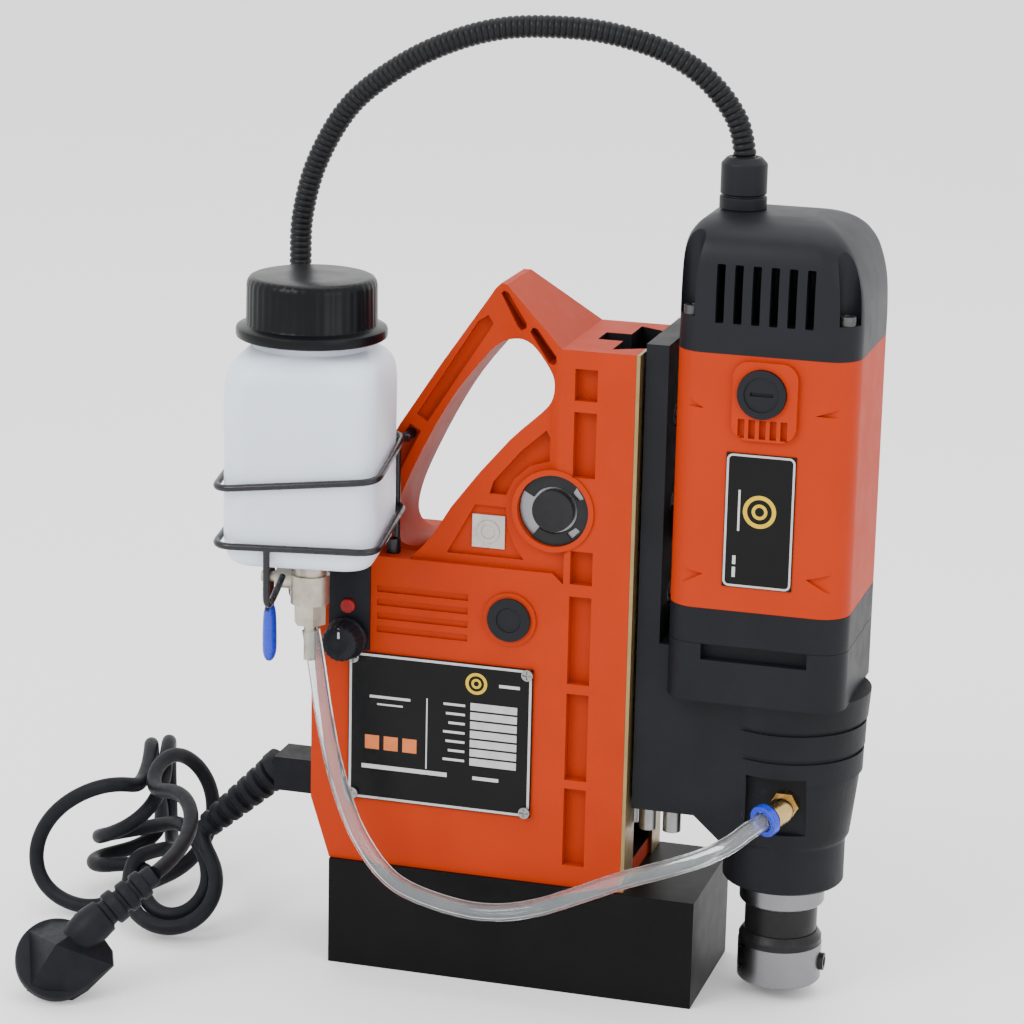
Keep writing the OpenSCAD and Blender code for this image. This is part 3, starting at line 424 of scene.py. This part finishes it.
# ------------------------------------------------------------------ cords
# Mains lead: the loops of the coil, from the ribbed relief on the stand to the plug's neck.
lead_points = [
    (-157, -3, 45), (-163, -3.5, 38.5), (-150.5, -10, 32.5), (-144, -20, 25), (-144, -33, 15),
    (-153, -42, 8), (-166.5, -43, 7), (-180.5, -36, 10.5), (-190, -24, 15.5), (-190, -12, 23),
    (-184.5, 0, 27.5), (-180, 12, 27), (-187, 30, 16), (-195, 48, 17), (-201, 62, 28),
    (-204, 68, 44), (-201, 61, 60), (-195, 46, 68.5), (-189, 28, 62), (-186, 12, 52),
    (-190, 2, 44), (-200, -1, 37), (-212, 3, 31), (-221, 12, 26), (-220, 23, 24),
    (-208, 31, 25), (-192, 30, 30), (-178, 20, 37), (-162, 2, 32.5), (-154.5, -6, 27.5),
    (-150, -16, 20.5), (-152, -27, 13.5), (-159.5, -34, 9), (-169.5, -35, 9.5),
    (-178, -30, 14.5), (-184, -22, 19.5), (-184, -12, 26), (-193, 0, 23), (-206, -5, 19),
    (-218, 2, 16), (-223, 13, 14.5), (-218, 26, 14), (-203, 33, 16), (-196, 42, 24),
    (-203, 55, 30), (-211, 64, 44), (-209, 58, 59), (-204, 45, 67), (-198, 28, 60),
    (-195, 8, 57), (-190, -6, 62), (-200, -10, 64.5), (-213, -12, 59.5), (-227.5, -14, 50),
    (-237, -16, 36), (-239, -18, 23.5), (-234, -20, 11), (-220, -22, 5), (-202.5, -24, 5),
    (-194.5, -8, 8.5), (-190, 8, 9), (-180, 26, 10), (-172, 38, 22), (-170, 44, 38),
    (-175, 44, 54), (-184, 40, 64), (-189, 24, 67), (-190, 10, 63), (-185.5, -2, 57),
    (-176, -8, 62.5), (-164.5, -16, 66), (-153.5, -30, 63.5), (-148, -45, 59),
    (-147, -62, 55.5), (-147, -76, 54), (-148.8, -88.2, 53.2)]
hose_points = [
    (-85.5, -61, 165.5), (-83, -60, 149), (-80, -59, 127.5), (-76, -58, 106), (-70, -57, 85),
    (-63, -56, 69), (-53, -55, 55), (-41, -54.5, 47), (-20, -53.5, 41.5), (-1.5, -53, 41),
    (17, -53, 45.5), (37, -54, 54.5), (57, -55.5, 64.5), (79, -57.5, 74), (93, -58, 80.5),
    (104, -56, 87), (111, -52, 92.5), (115, -47.8, 95.1), (118.4, -42, 96.5)]
conduit_points = [
    (-109, 0, 186), (-111, 0, 215), (-112.5, 0, 250), (-113.5, 0, 285), (-113, 0, 315),
    (-112, 0, 338), (-105, 0, 363), (-90, 0, 388), (-68, 0, 406), (-45, 0, 418), (-22, 0, 425),
    (1, 0, 427), (23.5, 0, 426), (46, 0, 421), (63, 0, 413), (74.5, 0, 403.5), (83, 0, 392),
    (86.6, 0, 380), (87, 0, 372)]


def settle(line, apart, rounds):
    """Rounds the corners of a coil and pushes strands that touch to their own width apart."""
    ends = (line[:2], line[-2:])
    for _ in range(rounds):
        line = [line[0]] + [p.lerp((a + b) / 2, 0.4) for a, p, b in
                            zip(line, line[1:], line[2:])] + [line[-1]]
        push = [Vector() for _ in line]
        for i, p in enumerate(line):
            for j in range(i + 6, len(line)):
                gap = p - line[j]
                far = gap.length
                if 1e-6 < far < apart:
                    shift = gap * ((apart - far) / far * 0.25)
                    push[i] += shift
                    push[j] -= shift
        line = [p + s for p, s in zip(line, push)]
        line = [Vector((p.x, p.y, max(p.z, 3.6))) for p in line]
        line[:2], line[-2:] = [p.copy() for p in ends[0]], [p.copy() for p in ends[1]]
    return line


def metres(line):
    return [p * MM for p in line]


LEAD_RADIUS, HOSE_RADIUS, HOSE_BORE_RADIUS = 3.5, 4.0, 2.7
strand_gap = 7.1
lead_coil = settle(even(smooth_line(lead_points, 10), 3.0), strand_gap, 30)
lead_line = metres(even(smooth_line(lead_coil, 3), 1.5))
bm = bmesh.new()
capped(bm, sweep(bm, lead_line, LEAD_RADIUS * MM, 20))
mains_lead = add_piece("mains_lead", finish_mesh(bm, "mains_lead", 60), "stand", "black_rubber",
                       ("mains_cable", "cable_bundle"))

hose_line = metres(even(smooth_line(hose_points, 10), 2.0))
bm = bmesh.new()
outer = sweep(bm, hose_line, HOSE_RADIUS * MM, 24)
inner = sweep(bm, hose_line, HOSE_BORE_RADIUS * MM, 24)
for a, b in ((outer[0], inner[0]), (outer[-1], inner[-1])):
    for j in range(24):
        bm.faces.new((a[j], a[(j + 1) % 24], b[(j + 1) % 24], b[j]))
hose = add_piece("clear_hose", finish_mesh(bm, "clear_hose", 60), None, "clear_hose",
                 ("coolant_hose",))
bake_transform(hose)

conduit_line = metres(even(smooth_line(conduit_points, 12), 0.45))


def corrugation(far):
    phase = (far / MM / 2.7) % 1.0
    return (4.35 + 0.65 * min(1.0, max(0.0, 1.9 * math.sin(math.pi * phase) - 0.35))) * MM


bm = bmesh.new()
capped(bm, sweep(bm, conduit_line, corrugation, 20))
conduit = add_piece("corrugated_conduit", finish_mesh(bm, "corrugated_conduit", 50), None,
                    "conduit_plastic", ("conduit",))
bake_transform(conduit)

# ------------------------------------------------------------------ stand
def rim(least, low, high):
    """Test for edges between a broad side and a face running right across the casting."""
    def test(c, e):
        if not low < c.z < high:
            return False
        side = [f for f in e.link_faces if abs(f.normal.y) > 0.7]
        across = [f for f in e.link_faces if abs(f.normal.y) < 0.35]
        if len(side) != 1 or len(across) != 1:
            return False
        ys = [v.co.y for v in across[0].verts]
        return (max(ys) - min(ys)) / MM > least
    return test


housing = refined("main_housing", "stand_casting", ["orange_paint", "black_cast"],
                  ((2.2, 4, 30, rim(25, 196, 400)), (1.8, 3, 30, rim(50, 51, 196.5)),
                   (0.6, 2, 30, None)), sharp=42)
# painted shade: faces inside the deep slide channel get the black cast finish in place of the orange
# paint
for f in housing.data.polygons:
    x, y, z = (v / MM for v in f.center)
    if 26 < x < 50.6 and abs(y) < 26.2 and 57.5 < z < 293.9:
        f.material_index = 1
refined("magnet_body", "magnet_block", "black_paint", ((0.9, 3, 30, None),))
refined("magnet_bolts", "magnet_screws", "steel_fastener", ((0.35, 2, 40, None),))
refined("gib_strips", "slide_strips", "brass_strip", ((0.3, 2, 30, None),))
refined("nameplate", "name_plate", "plate_black", ((0.35, 2, 30, None),))
refined("nameplate_screws", "plate_screws", "steel_fastener", ((0.25, 2, 40, None),))
refined("control_panel", "panel_plate", "black_plastic", ((0.6, 2, 30, None),))
refined("badge_plate", "badge", "badge_metal", ((0.25, 2, 40, None),))
refined("access_plug", "side_plug", "black_plastic", ((0.7, 3, 40, None),))
refined("pinion_bushes", "shaft_bushes", "turned_steel", ((0.5, 2, 40, None),))
refined("pinion_circlip", "shaft_clip", "black_steel", ((0.3, 2, 40, None),))
refined("pinion_shaft", "feed_shaft", "black_steel", ((0.3, 2, 60, None),))
refined("capstan_hub", "feed_hub", "black_plastic", ((1.2, 3, 40, None),))
refined("feed_arms", "feed_rods", "turned_steel", ((0.4, 2, 40, None),))
refined("arm_knobs", "rod_knobs", "black_plastic", ((0.8, 3, 25, None),))
refined("magnet_button", "push_button", "red_plastic", ((0.5, 3, 40, None),))
refined("conduit_elbow", "elbow", "black_plastic", ((0.9, 3, 40, None),))

# printed layout of the plates: bare border, plain bars and a ring, no lettering
PRINTS = ["plate_silver", "print_white", "print_orange", "print_amber"]
SILVER, WHITE, ORANGE, AMBER = range(4)


def flat_ring(bm, centre, r0, r1, index, steps=40):
    """A flat ring between radii r0 and r1 in the XZ plane."""
    x, y, z = centre
    ring = [[bm.verts.new((x + r * math.cos(a), y, z + r * math.sin(a)))
             for a in (2 * math.pi * j / steps for j in range(steps))] for r in (r0, r1)]
    for j in range(steps):
        k = (j + 1) % steps
        bm.faces.new((ring[0][j], ring[0][k], ring[1][k], ring[1][j])).material_index = index


bm = bmesh.new()
frame_bars(bm, -76.1, 8.4, 80.9, 148.9, -35.36, -35.15, 1.1, 3.0, SILVER)
for i in range(7):
    z = 129.5 - i * 4.3
    block(bm, (-32 + 1.2 * (i % 3), -35.3, z - 0.55), (-22, -35.15, z + 0.55), 0, WHITE)
    block(bm, (-19.5, -35.34, z - 1.7), (2.0, -35.15, z + 1.7), 0, SILVER)
block(bm, (-40, -35.3, 98), (-39.4, -35.15, 131), 0, WHITE)
block(bm, (-66.5, -35.3, 128.6), (-47.5, -35.15, 129.8), 0, WHITE)
block(bm, (-63, -35.3, 125.4), (-51, -35.15, 126.2), 0, WHITE)
for i in range(3):
    block(bm, (-68.5 + i * 8.8, -35.32, 104.5), (-61.9 + i * 8.8, -35.15, 111), 0, ORANGE)
block(bm, (-70, -35.3, 95.2), (-30, -35.15, 97.2), 0, WHITE)
block(bm, (-18, -35.3, 95.4), (-6, -35.15, 97), 0, WHITE)
for r0, r1 in ((3.6, 5.0), (1.2, 2.3)):
    flat_ring(bm, (-17, -35.34, 140.3), r0, r1, AMBER)
block(bm, (-6.5, -35.3, 139.6), (3, -35.15, 141), 0, WHITE)
add_piece("plate_print", finish_mesh(bm, "plate_print", 30, MM), "stand", PRINTS)

# knob with a fluted grip
bm = bmesh.new()
knob_place = Matrix.Translation((-77, -37.4, 156)) @ Matrix.Rotation(math.radians(90), 4, "X")
profile = [(0, -6.5), (3, -6.5), (3, 0), (9.0, 0), (9.6, 0.5), (9.6, 2.2), (9.1, 2.7), (8.9, 3.2),
           (8.4, 9.6), (7.9, 10.7), (7.0, 11.3), (4, 11.2), (3.4, 10.9), (0, 10.9)]
lathe(bm, profile, 120, knob_place,
      lambda k, a: -0.35 * max(0.0, math.cos(20 * a)) if 7 <= k <= 9 else 0.0)
block(bm, (-77.5, -48.65, 158.6), (-76.5, -48.3, 163.2), 0.0, 1)
add_piece("dial_knob", finish_mesh(bm, "dial_knob", 40, MM), "knob",
          ["black_plastic", "print_white"], ("speed_knob",))

# mains entry: block, ribbed relief
refined("mains_gland", "lead_entry", "black_rubber", ((0.7, 2, 35, None),))

# ------------------------------------------------------------------ carriage
refined("slide_bar", "slide", "turned_steel", ((0.4, 2, 30, None),))
refined("carriage_plate", "motor_plate", "black_cast", ((1.0, 2, 40, None),))
refined("carriage_screws", "plate_bolts", "steel_fastener", ((0.35, 2, 40, None),))
refined("gearbox_housing", "gear_case", "black_cast", ((0.7, 2, 35, None),), sharp=45)
refined("gearbox_cover", "gear_cover", "black_cast", ((1.0, 3, 40, None),))
refined("motor_housing", "motor_body", "orange_plastic",
        ((1.0, 3, 40, lambda c, e: c.z > 298.5 or c.z < 187.5), (0.5, 2, 30, None)))


def carved(bm, cutters, name, sharp):
    """The mesh of bm with every cutter taken out of it."""
    mesh = bpy.data.meshes.new(name)
    bm.to_mesh(mesh)
    bm.free()
    solid = bpy.data.objects.new(name, mesh)
    bpy.context.scene.collection.objects.link(solid)
    tools = []
    for i, cutter in enumerate(cutters):
        m = bpy.data.meshes.new(name + str(i))
        bmesh.ops.recalc_face_normals(cutter, faces=cutter.faces)
        cutter.to_mesh(m)
        cutter.free()
        o = bpy.data.objects.new(name + str(i), m)
        bpy.context.scene.collection.objects.link(o)
        b = solid.modifiers.new("cut", "BOOLEAN")
        b.operation, b.solver, b.object = "DIFFERENCE", "EXACT", o
        tools.append(o)
    graph = bpy.context.evaluated_depsgraph_get()
    out = bmesh.new()
    out.from_mesh(solid.evaluated_get(graph).to_mesh())
    for o in [solid, *tools]:
        m = o.data
        bpy.data.objects.remove(o)
        bpy.data.meshes.remove(m)
    return finish_mesh(out, name, sharp, MM)


# top cap: a loft whose ends and sides draw in towards the top
motor_x = 107.3
cap_half = 39.5
cap_height = 354.5
# height, then how far the stand's end, the far end and the sides are drawn in
cap_outline = [
    (299, 0, 0, 0), (312, 0, 0, 0), (326, 0.1, 1.0, 0.1), (338, 0.5, 4.2, 1.1),
    (345, 1.6, 8.2, 3.6), (349.3, 3.6, 12.6, 7.8), (352.2, 6.2, 17.5, 14.2),
    (353.8, 9.5, 22.5, 21.5), (cap_height, 12.5, 27.5, 27)]
bm = bmesh.new()
rings = []
ends = smooth_line([(z, near, far) for z, near, far, _ in cap_outline], 5)
depth = smooth_line([(z, side, 0) for z, _, _, side in cap_outline], 5)
for q, (z, dy, _) in zip(ends, depth):
    corner = max(6.5, 13 - dy * 0.25)
    x0, x1 = motor_x - cap_half + q.y, motor_x + cap_half - q.z
    y1 = cap_half - dy
    pts = []
    for cx, cy, a0 in ((x1 - corner, y1 - corner, 0), (x0 + corner, y1 - corner, 90),
                       (x0 + corner, corner - y1, 180), (x1 - corner, corner - y1, 270)):
        for k in range(13):
            a = math.radians(a0 + 7.5 * k)
            pts.append(bm.verts.new((cx + corner * math.cos(a), cy + corner * math.sin(a),
                                     min(z, cap_height))))
    rings.append(pts)
skin(bm, rings)
bmesh.ops.recalc_face_normals(bm, faces=bm.faces)
slots = bmesh.new()
slot_pitch, slot_width = 7.7, 3.6
for s_y in (-1, 1):
    for k in range(6):
        x = motor_x - 21.9 + k * slot_pitch
        y_near, y_far = sorted((s_y * 28, s_y * 41))
        block(slots, (x, y_near, 312), (x + slot_width, y_far, 337), 0.5)
wells = bmesh.new()
well_offset, well_radius = 34, 5.6
for x in (motor_x - well_offset, motor_x + well_offset):
    for y in (-well_offset, well_offset):
        lathe(wells, [(0, 314), (well_radius, 314), (well_radius, 360), (0, 360)], 40,
              Matrix.Translation((x, y, 0)))
hollow = bmesh.new()
for y0, y1 in ((-31, -1.5), (1.5, 31)):
    block(hollow, (motor_x - 27, y0, 298), (motor_x + 27, y1, 343))
add_piece("top_cap", carved(bm, [slots, wells, hollow], "top_cap", 40), "carriage",
          "black_plastic", ("motor_cap",))
long_screws = refined("cap_screws", "long_screws", "steel_fastener", ((0.3, 2, 40, None),))
long_screws.data.materials[0] = M["dull_steel"]
refined("brush_bezels", "brush_rings", "orange_plastic", ((0.5, 3, 40, None),))
refined("brush_caps", "brush_plugs", "black_plastic", ((0.5, 3, 40, None),))
refined("motor_label", "motor_plate_label", "plate_black", ((0.3, 2, 40, None),))
refined("conduit_gland", "cap_gland", "black_plastic", ((0.7, 3, 40, None),))
refined("nozzle_fitting", "coolant_elbow", "brass_fitting", ((0.4, 2, 40, None),))
refined("push_fit_collar", "release_collar", "blue_plastic", ((0.4, 3, 40, None),))
refined("spindle_shaft", "spindle", "black_steel", ((0.3, 2, 60, None),))
refined("spindle_collar", "spindle_ring", "turned_steel", ((0.3, 2, 40, None),))
holder = refined("arbor", "cutter_holder", ["turned_steel", "black_steel"],
                 ((0.35, 2, 40, None),))
for f in holder.data.polygons:
    if f.center.z > 0.0248:
        f.material_index = 1
refined("set_screws", "holder_screws", "black_steel", ((0.35, 2, 40, None),))

bm = bmesh.new()
frame_bars(bm, 93.1, 122.6, 198.4, 256.6, -40.36, -40.15, 0.9, 2.6, SILVER)
for r0, r1 in ((5.4, 7.2), (2.0, 3.4)):
    flat_ring(bm, (108, -40.34, 232), r0, r1, AMBER)
block(bm, (98.6, -40.3, 223), (99.5, -40.15, 241), 0, WHITE)
block(bm, (97.0, -40.3, 202.5), (98.4, -40.15, 207), 0, WHITE)
block(bm, (97.0, -40.3, 208.2), (98.4, -40.15, 212), 0, WHITE)
add_piece("label_print", finish_mesh(bm, "label_print", 30, MM), "carriage", PRINTS)

# ------------------------------------------------------------------ coolant bottle
turn = Matrix.Translation((-86, -61, 0)) @ Matrix.Rotation(math.radians(8), 4, "Z")


def square_ring(bm, z, half, corner, place, per=9):
    pts = []
    for sx, sy, a0 in ((1, 1, 0), (-1, 1, 90), (-1, -1, 180), (1, -1, 270)):
        for s in range(per):
            a = math.radians(a0 + 90 * s / (per - 1))
            pts.append(bm.verts.new(place @ Vector((sx * (half - corner) + corner * math.cos(a),
                                                    sy * (half - corner) + corner * math.sin(a), z))))
    return pts


bm = bmesh.new()
rings = [square_ring(bm, z, h, c, turn) for z, h, c in (
    (201.0, 27.7, 9), (201.3, 29.3, 10), (202.4, 30.7, 10.6), (204.6, 32, 11.2), (208.5, 33, 11.8),
    (214, 33.4, 12), (222, 33.5, 12), (245, 33.3, 12), (270, 33.5, 12), (277, 33.4, 12.2),
    (282, 33.0, 12.8), (286, 31.8, 13.8), (289, 29.9, 15), (291.2, 27.6, 17), (292.4, 26.1, 20),
    (293.2, 25.2, 24), (294.5, 25, 24.99), (315.8, 25, 24.99), (315.8, 22.6, 22.59),
    (294, 22.6, 22.59), (289, 26, 18), (281, 31, 12), (215, 31.8, 10.6), (203.2, 28, 8.6))]
skin(bm, rings)
add_piece("square_bottle", finish_mesh(bm, "square_bottle", 45, MM), "stand", "bottle_plastic",
          ("bottle",))

bm = bmesh.new()
profile = [(25.1, 297), (31.6, 297), (32.4, 297.5), (32.6, 298.3), (32.6, 300.4), (32.3, 301.3),
           (31.4, 301.9), (29.6, 302.3), (28.5, 302.8), (28.2, 303.6), (28.0, 319.6), (27.6, 321.4),
           (26.7, 322.7), (25.6, 323.2), (24.8, 323.4), (12, 323.1), (0, 323.0)]
lathe(bm, profile, 180, turn,
      lambda k, a: -0.28 * max(0.0, math.cos(45 * a)) ** 2 if 9 <= k <= 11 else 0.0)
lathe(bm, [(0, 316.2), (25.1, 316.2), (25.1, 297)], 180, turn)
bmesh.ops.remove_doubles(bm, verts=bm.verts, dist=0.01)
add_piece("screw_cap", finish_mesh(bm, "screw_cap", 35, MM), "cap", "cap_plastic",
          ("bottle_cap",))


# wire holder: two bent rings, an upright and the leg to the valve
def rounded(points, r, steps=6):
    """A closed loop with its corners turned into arcs of about radius r."""
    out, n = [], len(points)
    p = [Vector(q) for q in points]
    for i in range(n):
        a, b, c = p[i - 1], p[i], p[(i + 1) % n]
        u, v = (a - b).normalized(), (c - b).normalized()
        start, end = b + u * r, b + v * r
        for s in range(steps + 1):
            t = s / steps
            out.append(start * (1 - t) ** 2 + b * (2 * t * (1 - t)) + end * t ** 2)
    return out


bm = bmesh.new()
for heights, h in (((243.0, 247.6, 240.0, 236.0), 35.3), ((211.8, 215.5, 213.5, 211.0), 35.3)):
    corners = [(h, -h, heights[0]), (h, h, heights[1]), (-h, h, heights[2]), (-h, -h, heights[3])]
    sweep(bm, [turn @ q for q in rounded(corners, 9)], 1.5, 14, closed=True)
upright = [turn @ Vector(q) for q in ((32.4, 32.4, 201), (32.4, 32.4, 225), (32.4, 32.4, 240),
                                      (32.7, 32.4, 245), (34.5, 32.2, 246.6), (38, 31.7, 246.6))]
capped(bm, sweep(bm, even(smooth_line(upright, 6), 1.5), 1.5, 14))
leg = [turn @ Vector(q) for q in ((-12, -35.3, 212), (-12, -35.3, 200), (-12, -35.3, 190),
                                  (-11.8, -34.8, 187), (-11.2, -32, 185.8), (-10.5, -24, 188),
                                  (-9.8, -12, 192.5))]
capped(bm, sweep(bm, even(smooth_line(leg, 6), 1.5), 1.5, 14))
add_piece("wire_holder", finish_mesh(bm, "wire_holder", 60, MM), "stand", "black_wire",
          ("bottle_bracket",))
refined("bracket_clamps", "wire_clamps", "black_wire", ((0.5, 2, 40, None),))
refined("valve_body", "tap_body", "valve_metal", ((0.4, 2, 35, None),))
refined("valve_lever", "tap_lever", "black_steel", ((0.3, 2, 40, None),))

# dipped grip on the lever
bm = bmesh.new()
grip = [(-104.7, -61, 175.5), (-104.7, -61, 172), (-104.7, -61, 166), (-104.7, -61, 158),
        (-104.7, -61, 152), (-104.7, -61, 149)]
rings = []
for (x, y, z), w, d in zip(grip, (3.2, 4.0, 4.1, 4.4, 4.3, 1.6), (1.6, 2.7, 3.0, 3.1, 3.0, 1.1)):
    rings.append([bm.verts.new((x + d * math.cos(a), y + w * math.sin(a), z))
                  for a in (2 * math.pi * j / 24 for j in range(24))])
skin(bm, rings)
lever = add_piece("dipped_grip", finish_mesh(bm, "dipped_grip", 80, MM), "lever", "blue_plastic",
                  ("lever_grip",))
sub = lever.modifiers.new("round", "SUBSURF")
sub.levels = sub.render_levels = 2

# ------------------------------------------------------------------ plug
axis_back = Vector((0.33, -0.70, 0.64)).normalized()
face = Vector((-186.3, -110.6, 14.8))
side = Vector((0, 0, 1)).cross(axis_back).normalized()
top = axis_back.cross(side)
place = Matrix((
    (side.x, top.x, axis_back.x, face.x), (side.y, top.y, axis_back.y, face.y),
    (side.z, top.z, axis_back.z, face.z), (0, 0, 0, 1)))
bm = bmesh.new()
lathe(bm, [(0, 0.6), (15.5, 0.6), (16, 0), (17.6, 0), (18.4, 0.6), (18.5, 1.6), (18.5, 5.6),
           (18.0, 6.6), (17.0, 7.0), (0, 7.0)], 64, place)
# faceted back: a low pyramid over a nine-sided base that runs out into the neck
foot = [(-13.5, -13.0), (-7, -16.6), (6.4, -18.2), (13.2, -14.2), (25.1, -3.2), (24.9, 3.7),
        (16, 17.1), (-2.6, 17.8), (-12.8, 14.1)]
base = [(-11.8, -12.2), (-6.2, -14.8), (6.1, -16.2), (13.1, -12.8), (24.4, -4.6), (24.2, 2.3),
        (15.8, 16.1), (-2.2, 16.8), (-12.0, 12.6)]
lower = [bm.verts.new(place @ Vector((x, y, 1.0))) for x, y in foot]
middle = [bm.verts.new(place @ Vector((x, y, 7.0))) for x, y in base]
tip = bm.verts.new(place @ Vector((-0.9, -0.5, 27)))
for k in range(len(base)):
    n = (k + 1) % len(base)
    bm.faces.new((lower[k], lower[n], middle[n], middle[k]))
    bm.faces.new((middle[k], middle[n], tip))
bm.faces.new(list(reversed(lower)))
own = set(lower + middle + [tip])
edges = [e for e in bm.edges if e.verts[0] in own and e.verts[1] in own
         and len(e.link_faces) == 2 and e.calc_face_angle(0) > 0.1]
bmesh.ops.bevel(bm, geom=edges, offset=0.9, segments=3, profile=0.5, affect="EDGES",
                clamp_overlap=True)
neck_way = Vector((0.6, 0.55, 0.55)).normalized()
neck = Matrix.Translation((-182.4, -119, 22.4)) @ neck_way.to_track_quat("Z", "Y").to_matrix().to_4x4()
profile = [(0, 2), (5.2, 6), (7.6, 12), (8.6, 17), (8.6, 21), (7.9, 26.4), (6.2, 27.4),
           (6.0, 29.6), (7.6, 30.2), (7.9, 31), (7.8, 34.4), (7.3, 35.2), (5.6, 35.6), (5.6, 37.2),
           (7.0, 37.8), (7.3, 38.6), (7.2, 41.6), (6.8, 42.4), (5.3, 42.8), (5.3, 44.4), (6.4, 45),
           (6.7, 45.8), (6.6, 48.8), (6.2, 49.5), (5, 50), (4.8, 54.4), (4.3, 55), (0, 55)]
lathe(bm, profile, 40, neck)
plug = add_piece("mains_plug", finish_mesh(bm, "mains_plug", 30, MM), "stand", "black_rubber",
                 ("plug_body",))
pins = refined("plug_pins", "mains_pins", "turned_steel", ((0.6, 3, 40, None),))

# ------------------------------------------------------------------ inner nodes keep their CAD shape
inside = {"magnet_coils": "copper_coil", "magnet_potting": "black_resin",
          "control_board": "circuit_board", "rack": "turned_steel", "stator_core": "stator_iron",
          "ball_bearings": "turned_steel", "armature_shaft": "turned_steel",
          "armature_core": "copper_coil", "intermediate_gear": "turned_steel",
          "ejector_pin": "turned_steel"}
for name, mat in inside.items():
    nodes[name].data.materials.clear()
    nodes[name].data.materials.append(M[mat])

# ------------------------------------------------------------------ floor and light
bm = bmesh.new()
side_m = 6.0
v = [bm.verts.new((x, y, 0)) for x, y in
     ((-side_m, -side_m), (side_m, -side_m), (side_m, side_m), (-side_m, side_m))]
bm.faces.new(v)
floor_mesh = bpy.data.meshes.new("floor")
bm.to_mesh(floor_mesh)
bm.free()
floor = bpy.data.objects.new("floor", floor_mesh)
floor_mesh.materials.append(M["floor"])
bpy.context.scene.collection.objects.link(floor)

world = bpy.data.worlds.new("studio")
bpy.context.scene.world = world
world.use_nodes = True
world.node_tree.nodes["Background"].inputs["Color"].default_value = (1, 1, 1, 1)
world.node_tree.nodes["Background"].inputs["Strength"].default_value = 1.9


def lamp(name, where, at, power, wide, tall, color=(1, 1, 1)):
    data = bpy.data.lights.new(name, "AREA")
    data.shape = "RECTANGLE"
    data.size, data.size_y, data.energy, data.color = wide, tall, power, color
    o = bpy.data.objects.new(name, data)
    bpy.context.scene.collection.objects.link(o)
    o.location = where
    o.rotation_mode = "QUATERNION"
    o.rotation_quaternion = (Vector(at) - Vector(where)).to_track_quat("-Z", "Y")


lamp("key", (-0.9, -1.5, 1.5), (0, 0, 0.2), 26, 1.0, 0.8)
lamp("fill", (1.5, -1.1, 0.8), (0, 0, 0.2), 8, 1.0, 1.0)
lamp("top", (0.1, 0.3, 1.9), (0, 0, 0.2), 12, 1.6, 1.2)
